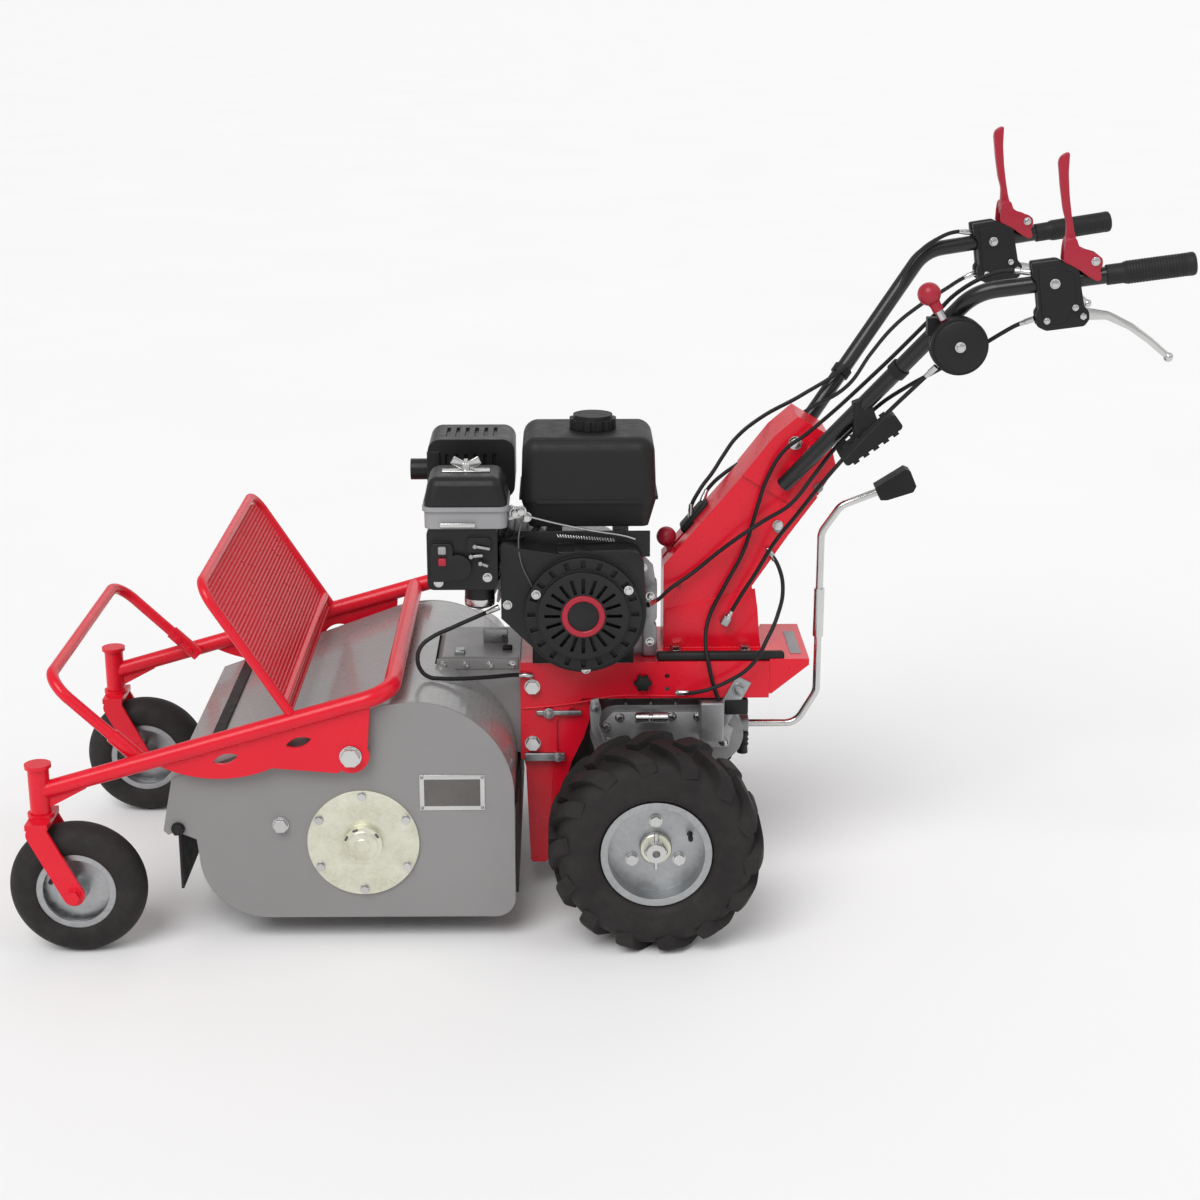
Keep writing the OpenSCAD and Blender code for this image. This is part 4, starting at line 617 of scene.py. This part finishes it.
# plain centre of the recoil starter: a red ring round a black dome, both bare
starterCentre = {"at": ("recoil_cover", -109, 500),
    "ring": [(24, 0), (27.6, 0), (27.6, 2.1), (33.2, 2.1), (33.6, 3.4), (32.2, 5.0), (25.6, 5.0), (24, 3.6)],
    "dome": [(0, 0), (24.2, 0), (24.2, 2.2), (19, 3.4), (10, 4.4), (0, 4.7)]}
fit = starterCentre
placePiece("starterRing", onSide(turned(fit["ring"], 56, True), *fit["at"]), "redLever", smooth=35)
placePiece("starterDome", onSide(turned(fit["dome"], 48), *fit["at"]), "engineBlack", smooth=40)

# wing nut and its pressed plate on the air cleaner lid
wingNut = {"at": (-288, -110, 1500), "plate": (74, 26, 3), "plateRise": 0.001, "bossRise": 0.002, "wing": (20, 4, 13),
    "boss": [(0, 0), (7, 0), (6, 9), (3.2, 10), (3.2, 16), (0, 16)], "wingOff": 0.0125, "wingTilt": 0.5}
spot = seat("air_cleaner_lid", wingNut["at"], downward)
parts = [moved(roundedBox(wingNut["plate"]), Matrix.Translation(spot + Vector((0, 0, wingNut["plateRise"])))),
    moved(turned(wingNut["boss"], 24), Matrix.Translation(spot + Vector((0, 0, wingNut["bossRise"]))))]
for sign in (-1, 1):
    place = spot + Vector((sign * wingNut["wingOff"], 0, wingNut["wingOff"]))
    parts.append(moved(roundedBox(wingNut["wing"], radius=1.5), tilted(place, -sign * wingNut["wingTilt"])))
placePiece("wingNut", parts, "brightSteel", smooth=35)

# throttle linkage between the tank and the fan shroud: a rod and a coil spring
linkage = {"rod": [(-236, -118, 652), (-205, -121, 648), (-150, -120, 634), (-96, -119, 622), (-44, -116, 612),
        (-28, -112, 606)], "rodR": 1.6, "springFrom": (-150, -112, 612), "springTo": (-60, -110, 604), "springR": 4.2,
    "turns": 22, "turnSteps": 10, "wire": 0.7}
a, b = at(*linkage["springFrom"]), at(*linkage["springTo"])
steps = linkage["turns"] * linkage["turnSteps"]
radius = linkage["springR"] / 1000
coil = []
for k in range(steps + 1):
    angle = math.tau * linkage["turns"] * k / steps
    ring = Vector((math.cos(angle) * radius, math.sin(angle) * radius, (b - a).length * k / steps))
    coil.append(facing(a, b - a) @ ring)
parts = [wireAlong(linkage["rod"], linkage["rodR"]), tubeAlong(coil, linkage["wire"], smooth=False, sides=1)]
placePiece("throttleLinkage", parts, "brightSteel", smooth=50)

# control box of the engine: fuel and choke levers, two rocker caps
controlBox = {"seat": (-268, 606), "levers": [((-274, 612), 26, 10), ((-280, 596), 20, -6), ((-266, 585), 14, 20)],
    "section": (2.4, 4.4), "leverOut": 0.005, "reach": 0.0004, "pinOut": 0.002, "capSize": (12, 7, 12),
    "capOut": 0.002, "pin": [(0, -5), (3.6, -5), (3.6, 5), (2.8, 6), (0, 6)], "caps": [(-324, 606), (-324, 588)]}
face = seatSide("carburettor", *controlBox["seat"], -1).y
parts = []
for (x, z), length, tilt in controlBox["levers"]:
    lever = moved(roundedBox((length, *controlBox["section"]), radius=1.0),
        Matrix.Translation((length * controlBox["reach"], 0, 0)))
    across = at(x, 0, z)
    parts.append(moved(lever, tilted(across + Vector((0, face - controlBox["leverOut"], 0)), math.radians(tilt))))
    place = across + Vector((0, face - controlBox["pinOut"], 0))
    parts.append(moved(turned(controlBox["pin"], 20), facing(place, leftward)))
placePiece("engineLevers", parts, "zincSteel", smooth=35)
for k, (x, z) in enumerate(controlBox["caps"]):
    place = seatSide("carburettor", x, z, -1) + Vector((0, -controlBox["capOut"], 0))
    cap = moved(roundedBox(controlBox["capSize"], radius=2.0), Matrix.Translation(place))
    placePiece("rockerCap%d" % k, cap, "redLever" if k else "mouldedGrey", smooth=35)
print("engine fittings made")

# black sheet covers round the engine: shroud crown, control plate and base skirt
engineCovers = {
    "crown": ([(-152, 596), (-40, 600), (-24, 594), (-15, 578), (-12, 512), (-60, 540), (-109, 560)], -148, -97, 4.0),
    "controlPlate": ([(-206, 574), (-206, 616), (-4, 616), (-4, 574)], -99.6, -96.4, 0.9),
    "baseSkirt": ([(-189, 399), (-189, 470), (-29, 470), (-29, 399)], -98.8, -96.4, 0.9),
}
parts = [plate(*cover) for cover in engineCovers.values()]
placePiece("engineCovers", parts, "engineBlack", smooth=30)

# bare castings that show behind the shroud, with their bolts
crankcaseRib = {
    "rib": ([(-13, 399), (9, 399), (9, 448), (5, 455), (9, 462), (9, 522), (-2, 534), (-13, 534)], -66, -44, 2.0),
    "stay": ([(-36, 552), (-20, 576), (2, 552), (7, 520), (-8, 514)], -70, -66.2, 1.0),
    "bolts": [(-14, -70, 548), (-2, -66, 500), (-2, -66, 424)],
    "sideCover": [(58.6, 0), (81, 0), (81, 4), (77, 7), (63, 7), (58.6, 4)], "coverAt": (-109, 84, 500),
    "coverBolts": 6, "coverBoltR": 71, "coverBoltsAt": (-109, 91, 500), "coverBoltSize": (10, 6, 8)}
fit = crankcaseRib
parts = [plate(*fit["rib"]), plate(*fit["stay"]), turnedAt(fit["sideCover"], fit["coverAt"], rightward, 64, True)]
placePiece("crankcaseRib", parts, "castAlloy")
parts = [boltAt(spot, leftward) for spot in fit["bolts"]]
for k in range(fit["coverBolts"]):
    spot = ringSpot(fit["coverBoltsAt"], fit["coverBoltR"], math.tau * (k + 0.5) / fit["coverBolts"])
    parts.append(boltAt(spot, rightward, fit["coverBoltSize"]))
placePiece("crankcaseBolts", parts, "brightSteel", smooth=30)

# fuel bowl, clip and nuts beside the air cleaner, fuel hose and governor wire
carburettorFittings = {
    "bowl": [(0, 0), (17, 0), (21.5, 2), (23.6, 6), (23.6, 15), (0, 15)], "bowlAt": (-270, -120, 502),
    "drain": ((-270, -120, 503), downward, (11, 5, 8)), "clip": ((54, 4, 7), (-300, -170.6, 645)),
    "bracket": ([(-224, 640), (-224, 664), (-198, 660), (-198, 646)], -124, -121, 0.8),
    "nuts": [(-214, -124, 652), (-204, -124, 655), (-196, -118, 644)], "nutSize": (11, 7, 8.5),
    "hose": [(-170, -62, 630), (-186, -86, 612), (-214, -104, 606), (-244, -110, 604)], "hoseR": 4.4,
    "wire": [(-200, -126, 648), (-208, -142, 616), (-204, -153, 580), (-190, -154.5, 548), (-183, -155, 534)],
    "wireR": 1.3}
fit = carburettorFittings
parts = [turnedAt(fit["bowl"], fit["bowlAt"], upward, 40), boltAt(*fit["drain"]), boxAt(*fit["clip"]),
    plate(*fit["bracket"])] + [boltAt(spot, leftward, fit["nutSize"]) for spot in fit["nuts"]]
placePiece("carburettorFittings", parts, "brightSteel")
placePiece("fuelHose", wireAlong(fit["hose"], fit["hoseR"]), "flapRubber", smooth=60)
placePiece("governorWire", wireAlong(fit["wire"], fit["wireR"]), "forgedSteel", smooth=60)
print("engine dressed")

# red skirts beside the stand legs, and doubler plates on the foot of the post
redPlates = {
    "legSkirt": ([(-207, 336), (-97, 336), (-97, 304), (-108, 268), (-128, 226), (-146, 160), (-156, 60), (-190, 60),
        (-198, 200), (-205, 236)], 85.5, 81.5, 0.7),
    "postDoubler": ([(22.5, 408), (22.5, 472), (166, 506), (171, 472), (176, 408)], 47.8, 45.8, 0.7)}
for side, sign in bothSides:
    for kind, (outline, near, far, soft) in redPlates.items():
        placePiece("%s_%s" % (kind, side), plate(outline, sign * near, sign * far, soft), "redPaint", smooth=30)

# weld beads along the foot of the post, as overlapping ripples
weld = {"pitch": 5.0, "from": (23, 47.6, 406.8), "to": (176, 47.6, 406.8),
    "ripple": [(0, 0), (2.3, 0), (2.576, 1.6), (2.3, 3.4), (1.84, 5.2), (0, 5.2)]}
parts = []
for sign in (-1, 1):
    a, b = [at(x, sign * y, z) for x, y, z in (weld["from"], weld["to"])]
    count = int((b - a).length * 1000 / weld["pitch"])
    parts += [moved(turned(weld["ripple"], 10), facing(a + (b - a) * k / count, b - a)) for k in range(count)]
placePiece("postWelds", parts, "redPaint", smooth=40)

# chassis fittings: slotted bar, stop bar, brake fork, star knob, dark strip under the post, bare rear label plate
chassisFittings = {
    "slotBar": ((72, 5, 8), (-148, -94.4, 314)), "stopBar": ((64, 9, 13), (-171, -95.5, 240)),
    "slotBolt": ((-164, -96.8, 314), leftward, (11, 6, 9)), "stopBolt": ((-150, -99.8, 240), leftward, (10, 5, 8)),
    "forkBolt": ((-90, -101, 326), leftward, (11, 6, 9)),
    "fork": ([(-97, 337), (-85, 341), (-80, 318), (-84, 294), (-72, 262), (-84, 256), (-97, 288), (-99, 318)], -101,
        -95, 1.4),
    "knobAt": (-14, -92, 366), "knob": [(0, 0), (5, 0), (5, 5), (10, 7), (11.5, 11), (10.5, 16), (5, 18), (0, 18.4)],
    "lobe": [(0, 0), (3.4, 0), (4.0, 1), (4.0, 7), (3.2, 8), (0, 8.4)], "lobes": 6, "lobeR": 10.5,
    "lobesAt": (-14, -98, 366),
    "strip": ((204, 15, 15), (110, -82.5, 405), 0.0, 5.0), "barePlate": ((18, 116, 1.2), (232, -8, 402.5), 0.0, 0.5)}
fit = chassisFittings
parts = [boxAt(*fit["slotBar"]), boltAt(*fit["slotBolt"]), boxAt(*fit["stopBar"]), boltAt(*fit["stopBolt"]),
    boltAt(*fit["forkBolt"])]
placePiece("chassisHardware", parts, "zincSteel")
placePiece("brakeFork", plate(*fit["fork"]), "castAlloy", smooth=35)
parts = [turnedAt(fit["knob"], fit["knobAt"], leftward, 30)]
for k in range(fit["lobes"]):
    spot = ringSpot(fit["lobesAt"], fit["lobeR"], math.tau * k / fit["lobes"])
    parts.append(turnedAt(fit["lobe"], spot, leftward, 14))
placePiece("starKnob", parts, "mouldedBlack", smooth=40)
# a dark strip along the foot of the post
placePiece("postDarkStrip", boxAt(*fit["strip"]), "flapRubber", smooth=40)
placePiece("guardPlate", boxAt(*fit["barePlate"]), "mouldedGrey", smooth=30)

# gearbox fittings: bolted side cover, bright shift cylinder, dark block, rubber boot and bracket plate
gearFittings = {
    "cover": [(-86, 282), (-62, 308), (94, 308), (134, 280), (126, 246), (-78, 246)], "coverY": (77, 71.5),
    "coverSoft": 1.6,
    "coverBolts": [(-72, 284), (-50, 299), (-8, 300), (34, 300), (76, 300), (112, 286), (118, 256), (-70, 256)],
    "boltY": 76.8, "boltSize": (10, 6, 8), "block": ((38, 34, 66), (97, -90, 300), 0.0, 3.0),
    "darkBlock": ((38, 24, 26), (136, -84, 322), 0.0, 2.5), "stay": ((30, 26, 12), (0, -88, 304)),
    "cylinder": [(0, 0), (7, 0), (9, 1.4), (9, 22), (7, 23), (7, 27), (9, 28), (9, 52), (6, 54), (0, 54)],
    "cylinderAt": (-26, -104, 308), "bootAt": (152, -40, 260),
    "boot": [(0, 0), (9, 0), (10, 5), (8, 9), (10, 13), (8, 17), (10, 21), (8, 25), (9, 36), (0, 36)],
    "plate": ((84, 2.6, 27), (128, -93.4, 332), 62.0), "plateBolt": ((140, -94.6, 352), leftward, (14, 8, 11))}


def gearCover(sign):
    near, far = gearFittings["coverY"] if sign < 0 else reversed(gearFittings["coverY"])
    return plate(gearFittings["cover"], sign * near, sign * far, gearFittings["coverSoft"])


def gearBolts(sign):
    spots = [(x, sign * gearFittings["boltY"], z) for x, z in gearFittings["coverBolts"]]
    return [boltAt(spot, (0, sign, 0), gearFittings["boltSize"]) for spot in spots]


fit = gearFittings
placePiece("gearboxCover", [gearCover(-1), boxAt(*fit["block"]), boxAt(*fit["stay"])], "castAlloy")
parts = gearBolts(-1) + [turnedAt(fit["cylinder"], fit["cylinderAt"], rearward)]
placePiece("gearboxBolts", parts, "brightSteel")
placePiece("gearboxSwitch", boxAt(*fit["darkBlock"]), "engineBlack", smooth=35)
placePiece("shiftBoot", turnedAt(fit["boot"], fit["bootAt"], downward), "flapRubber", smooth=45)
placePiece("selectorPlate", [boxAt(*fit["plate"]), boltAt(*fit["plateBolt"])], "zincSteel")

# post fittings: rubber boot where two cables go in, round white caps, bolt, and the throttle cable's stop
postFittings = {"boot": ((62, 40, 15), (73, 24, 608), 49.75, 5.0),
    "whiteCaps": [("post_bracket", 262, 672), ("post", 201, 605)],
    "cap": [(0, 0), (7.5, 0), (7.5, 2.4), (5.5, 5), (0, 6)], "bolt": ("post_bracket", 224, 744),
    "boltSize": (13, 7, 11), "cableStop": ((16, 22, 12), (119, -58, 457), 62.0)}
fit = postFittings
placePiece("cableBoot", boxAt(*fit["boot"]), "flapRubber", smooth=45)
parts = []
for nodeName, x, z in fit["whiteCaps"]:
    for sign in (-1, 1):
        parts.append(onSide(turned(fit["cap"]), nodeName, x, z, sign))
placePiece("whiteCaps", parts, "mouldedGrey", smooth=40)
placePiece("bracketBolt", onSide(hexHead(fit["boltSize"]), *fit["bolt"]), "brightSteel", smooth=30)
placePiece("cableStop", boxAt(*fit["cableStop"]), "zincSteel")
print("chassis, gearbox and post dressed")

# hand controls: lever housings, red clutch levers and bright brake levers, drawn in the side view of each bar
def barFrame(sign, x):
    # a matrix at a point of the handlebar's rear run: X along the bar, Y across it, Z up
    knee, rear = barEnds(sign)
    along = (rear - knee).normalized()
    across = Vector(upward).cross(along).normalized()
    place = knee.lerp(rear, (x - grip["barKnee"][0]) / (grip["barRear"][0] - grip["barKnee"][0]))
    turn = Matrix((along, across, along.cross(across))).transposed().to_4x4()
    return Matrix.Translation(place) @ turn


handControls = {
    "x": 576,
    "housing": ([(-36.3, 33), (2, 33), (30, 15), (31, -8), (33, -38), (39, -46), (39, -58), (31, -67), (-24, -67),
        (-36.3, -59), (-36.3, -40), (-32, -36), (-32, 6), (-36.3, 10)], 4.0, 2.0, 5.3, 18),
    "core": ([(-35, 31.5), (2, 31.5), (28, 14), (28, -28), (13, -32), (13, -65), (-23, -65), (-35, -58), (-31, -36),
        (-31, 6)], 3.0, 0.8, -6.3, 6.3),
    "lug": ([(14, 31), (30, 36), (52, 33.5), (62, 28), (62, 19), (52, 15), (20, 15)], 5.0, 1.6, -11.5, 11.5),
    "pad": ([(-28, 24), (0, 24), (22, 9), (22, -30), (4, -58), (-20, -58), (-28, -50)], 4.0, 1.0, 17, 19.6),
    "screws": [(-6, 0, 19.4, (10, 4.5, 7.5)), (20, -38, 19.4, (6.5, 3, 4.8)), (-22, -52, 19.4, (6.5, 3, 4.8)),
        (54, 24, 16.4, (9, 4, 6.5)), (30, -52, 16.4, (9, 4, 6.5))],
    "stem": ([(14.3, 171), (20, 178.5), (32, 182), (27.6, 151.6), (26.4, 119), (27.3, 89), (29, 67), (33, 47),
        (42, 39), (30, 36), (12, 40), (16.8, 65.8), (18.9, 82), (15.5, 101.6), (14.1, 134.5)], 5.0, 2.4, -6, 6),
    "cheek": ([(33, 47), (43, 40), (57, 34), (64, 27), (64, 18), (59, 10), (61, 2), (60, -4), (55, -5.5), (44.4, 1.3),
        (30.4, 14.3), (15, 25), (8.4, 29), (11.5, 47), (15, 60), (30, 60)], 5.0, 1.0, 13.4, 16.6),
    "bridge": ([(13, 46), (15.5, 62), (28.8, 62), (32, 46)], 4.0, 1.2, -16.3, 16.3),
    "brake": ([(30, -42), (22, -45), (19, -52), (24, -60), (34, -61), (64, -64), (95, -83), (120, -106), (143, -131),
        (150, -132), (151, -126), (128, -100), (102, -75), (70, -53), (44, -45)], 9.0, 3.0, -4.5, 4.5, 4),
    "ball": [(0, -7), (3.5, -6.2), (6.2, -3.5), (7.2, 0), (6.2, 3.5), (3.5, 6.2), (0, 7)], "ballAt": (149, -131)}
fit = handControls
for side, sign in bothSides:
    place = barFrame(sign, fit["x"])
    shells = mirrored(*fit["housing"]) + [shaped(*fit["core"]), shaped(*fit["lug"])] + mirrored(*fit["pad"])
    placePiece("leverHousing_" + side, moved(joined(shells), place), "mouldedBlack", smooth=35,
        hides=["lever_perches"])
    heads = []
    for u, v, out, size in fit["screws"]:
        for face in (-1, 1):
            spot = Vector((u / 1000, face * out / 1000, v / 1000))
            heads.append(moved(hexHead(size), place @ facing(spot, (0, face, 0))))
    placePiece("housingScrews_" + side, heads, "brightSteel")
    parts = mirrored(*fit["cheek"]) + [shaped(*fit["stem"]), shaped(*fit["bridge"])]
    placePiece("clutchLever_" + side, moved(joined(parts), place), "redLever", smooth=40,
        body="clutch_hand_lever_" + side, hides=["clutch_lever_" + side])
    u, v = fit["ballAt"]
    ball = moved(turned(fit["ball"]), facing(Vector((u / 1000, 0, v / 1000)), rightward))
    parts = [shaped(*fit["brake"]), ball]
    placePiece("brakeLever_" + side, moved(joined(parts), place), "brightSteel", smooth=45,
        body="brake_hand_lever_" + side, hides=["brake_lever_" + side])

# throttle: domed cap and screw on its housing, bright shank and red neck on its lever
throttle = {"centre": (437, -236, 930), "along": (-46, 0, 75), "capAt": (437, -247.8, 930),
    "cap": [(0, 0), (38, 0), (38, 1.8), (35, 3.8), (12, 4.8), (0, 5)],
    "screw": ((437, -252.6, 930), leftward, (11, 4, 8)),
    "shank": [(0, 44), (5.4, 44), (6.4, 45.4), (6.4, 62), (0, 62)],
    "neck": [(0, 60), (7.6, 60), (8.6, 61.6), (8.0, 68), (9.5, 75), (0, 75)]}
fit = throttle
placePiece("throttleCap", turnedAt(fit["cap"], fit["capAt"], leftward, 48), "mouldedBlack", smooth=40)
placePiece("throttleScrew", boltAt(*fit["screw"]), "brightSteel")
placePiece("throttleShank", turnedAt(fit["shank"], fit["centre"], fit["along"]), "brightSteel", smooth=35,
    body="throttle_hand_lever")
placePiece("throttleNeck", turnedAt(fit["neck"], fit["centre"], fit["along"]), "redLever", smooth=40,
    body="throttle_hand_lever")
print("hand controls made")

# bearing covers: a stepped cap on each boss, and three key slots near its rim drawn as dark flat pieces: painted
# shade of the slot openings
coverCap = {"at": (-449, 167), "face": 281.8, "cap": [(0, 0), (24, 0), (24, 1.0), (22.6, 2.0), (12, 2.4), (11, 3.2),
        (0, 3.4)], "slot": ([(-4.6, -2), (4.6, -2), (4.6, 2), (-4.6, 2)], 2.4, 0.3, -0.6, 0.6), "slotR": 27.6,
    "slotTurns": (113, 153, 37)}
fit = coverCap
caps, slotShades = [], []
for sign in (-1, 1):
    centre = (fit["at"][0], sign * fit["face"], fit["at"][1])
    caps.append(turnedAt(fit["cap"], centre, (0, sign, 0), 44))
    for turn in map(math.radians, fit["slotTurns"]):
        spot = at(*ringSpot(centre, fit["slotR"], turn))
        slotShades.append(moved(shaped(*fit["slot"]), tilted(spot, math.pi / 2 - turn)))
placePiece("bearingCaps", caps, "yellowZinc", smooth=35)
# dark flat pieces that paint the shade inside the key slots
placePiece("bearingSlotShades", slotShades, "forgedSteel", smooth=35)

# drive hubs: a yellow plated lock ring and a hexagon nut round each axle end
hubRing = {"face": 293.8, "axleZ": 165, "ring": [(13.5, 0), (24.5, 0), (24.5, 3), (23, 4.4), (13.5, 4.4)],
    "nut": [(13.3, 4), (17, 4), (18.4, 5), (18.4, 14), (17, 15.4), (13.3, 15.4)]}
for side, sign in bothSides:
    spot, body = (0, sign * hubRing["face"], hubRing["axleZ"]), "drive_wheel_" + side
    placePiece("hubRing_" + side, turnedAt(hubRing["ring"], spot, (0, sign, 0), 40, True), "yellowZinc", smooth=35,
        body=body)
    placePiece("hubNut_" + side, turnedAt(hubRing["nut"], spot, (0, sign, 0), 6, True), "brightSteel", smooth=25,
        body=body)

# right-hand side: bolts and a pressed rib on the belt cover, bolted plate on the gearbox
rightSide = {"coverBolts": [(-513, 167), (-449, 103), (-497, 213), (-401, 121), (-300, 350), (-252, 300), (-346, 322),
        (-271, 258), (-421, 268), (-336, 190)], "boltSize": (10, 5, 8), "boltSink": 0.2,
    "rib": ([(-484, 172), (-472, 200), (-318, 326), (-296, 326), (-276, 304), (-278, 284), (-430, 148), (-462, 140)],
        16.0, 1.2, 313.9, 316.6)}
fit = rightSide
placePiece("gearboxPlate", gearCover(1), "castAlloy")
placePiece("beltCoverRib", moved(shaped(*fit["rib"]), Matrix.Translation((axleX, 0, 0))), "hoodGrey", smooth=35)
parts = gearBolts(1)
for x, z in fit["coverBolts"]:
    y = seatSide("belt_cover", x, z, 1).y * 1000 - fit["boltSink"]
    parts.append(boltAt((x, y, z), rightward, fit["boltSize"]))
placePiece("rightSideBolts", parts, "brightSteel")

# chassis: folded rim along its lower edge
chassisRim = {"line": [(-206, -92.6, 321), (-150, -92.8, 326), (-104, -92.8, 333), (-70, -92.6, 340),
        (44, -92.6, 341)], "radius": 1.7}
placePiece("chassisRim", wireAlong(chassisRim["line"], chassisRim["radius"]), "redPaint", smooth=60)
print("covers, hubs and right side made")

# drive neck: bolted flange along its near top edge, small bracket and grommet on top
neckFittings = {"flange": ((130, 2.4, 17), (-277, -78.8, 392), 0.0, 0.9),
    "flangeBolts": [(-332, -79.8, 391), (-296, -79.8, 391), (-258, -79.8, 391), (-222, -79.8, 391)],
    "flangeBoltSize": (8, 4, 6.5), "foot": ((40, 26, 3), (-250, 6, 405)), "upright": ((40, 3, 24), (-250, -6, 416)),
    "footBolts": [(-262, 9, 406.3), (-238, 9, 406.3)], "footBoltSize": (9, 5, 7),
    "clamp": ((16, 20, 9), (-306, -60, 407), 0.0, 2.0), "grommet": ((16, 12, 9), (-230, -42, 407), 0.0, 3.0)}
fit = neckFittings
placePiece("neckFlange", boxAt(*fit["flange"]), "plateGrey")
placePiece("neckBracket", [boxAt(*fit["foot"]), boxAt(*fit["upright"]), boxAt(*fit["clamp"])], "zincSteel")
placePiece("neckGrommet", boxAt(*fit["grommet"]), "flapRubber", smooth=40)
parts = [boltAt(spot, leftward, fit["flangeBoltSize"]) for spot in fit["flangeBolts"]]
parts += [boltAt(spot, upward, fit["footBoltSize"]) for spot in fit["footBolts"]]
placePiece("neckBolts", parts, "brightSteel")
print("neck dressed")

# deck fittings: bare data plate with rivets; a dark strip along the front of the hood paints the shade in the gap
# behind its lip
dataPlate = {"at": (-311, 248), "plate": ("barePlate", (100, 1.6, 58), 0.7, 0.0007, "brightSteel"),
    "panel": ("barePanel", (86, 1.2, 44), 0.5, 0.0013, "forgedSteel"), "rivets": (0.046, 0.025), "rivetOut": 0.0014,
    "rivet": [(0, 0), (2.6, 0), (2.3, 1.0), (1.2, 1.6), (0, 1.8)]}
spot = seatSide("side_plate_left", *dataPlate["at"], -1)
for name, size, soft, out, finishName in (dataPlate["plate"], dataPlate["panel"]):
    sheet = moved(roundedBox(size, soft, 2), Matrix.Translation(spot + Vector((0, -out, 0))))
    placePiece(name, sheet, finishName, smooth=30)
parts = []
for u in (-1, 1):
    for v in (-1, 1):
        place = spot + Vector((u * dataPlate["rivets"][0], -dataPlate["rivetOut"], v * dataPlate["rivets"][1]))
        parts.append(moved(turned(dataPlate["rivet"], 18), facing(place, leftward)))
placePiece("plateRivets", parts, "castAlloy", smooth=40)

# a dark strip in the gap behind the hood's front lip: painted shade of that gap
hoodGapShade = {"from": (-698, 0, 287.4), "to": (-677, 0, 295.0), "width": 510, "thick": 4.0, "soft": 1.4,
    "rise": 0.0016}
a, b = at(*hoodGapShade["from"]), at(*hoodGapShade["to"])
strip = roundedBox(((b - a).length * 1000, hoodGapShade["width"], hoodGapShade["thick"]), hoodGapShade["soft"])
centre = (a + b) / 2 + Vector((0, 0, hoodGapShade["rise"]))
placePiece("hoodGapShade", moved(strip, tilted(centre, -math.atan2((b - a).z, (b - a).x))), "flapRubber", smooth=35)

# tyre valves: in the drive rims' valve holes, and on the castor rims
valve = {"driveR": 56, "driveTurn": 20, "driveFace": 283, "castorAt": (-922, 123),
    "stem": [(0, -6), (4.3, -6), (4.3, 1), (3.6, 5), (3.2, 15), (0, 15)],
    "cap": [(0, 14.5), (3.9, 14.5), (3.9, 22), (3.2, 23), (0, 23)]}
turn = math.radians(valve["driveTurn"])
for side, sign in bothSides:
    rise = hubRing["axleZ"] - sign * valve["driveR"] * math.sin(turn)
    drive = at(valve["driveR"] * math.cos(turn), sign * valve["driveFace"], rise)
    castor = seatSide("castor_rim_" + side, *valve["castorAt"], sign)
    for kind, spot in (("drive", drive), ("castor", castor)):
        seated, label, body = facing(spot, (0, sign, 0)), "_%s_%s" % (kind, side), "%s_wheel_%s" % (kind, side)
        placePiece("valveStem" + label, moved(turned(valve["stem"], 20), seated), "flapRubber", smooth=40, body=body)
        placePiece("valveCap" + label, moved(turned(valve["cap"], 18), seated), "mouldedBlack", smooth=40, body=body)
print("deck and wheel fittings made")
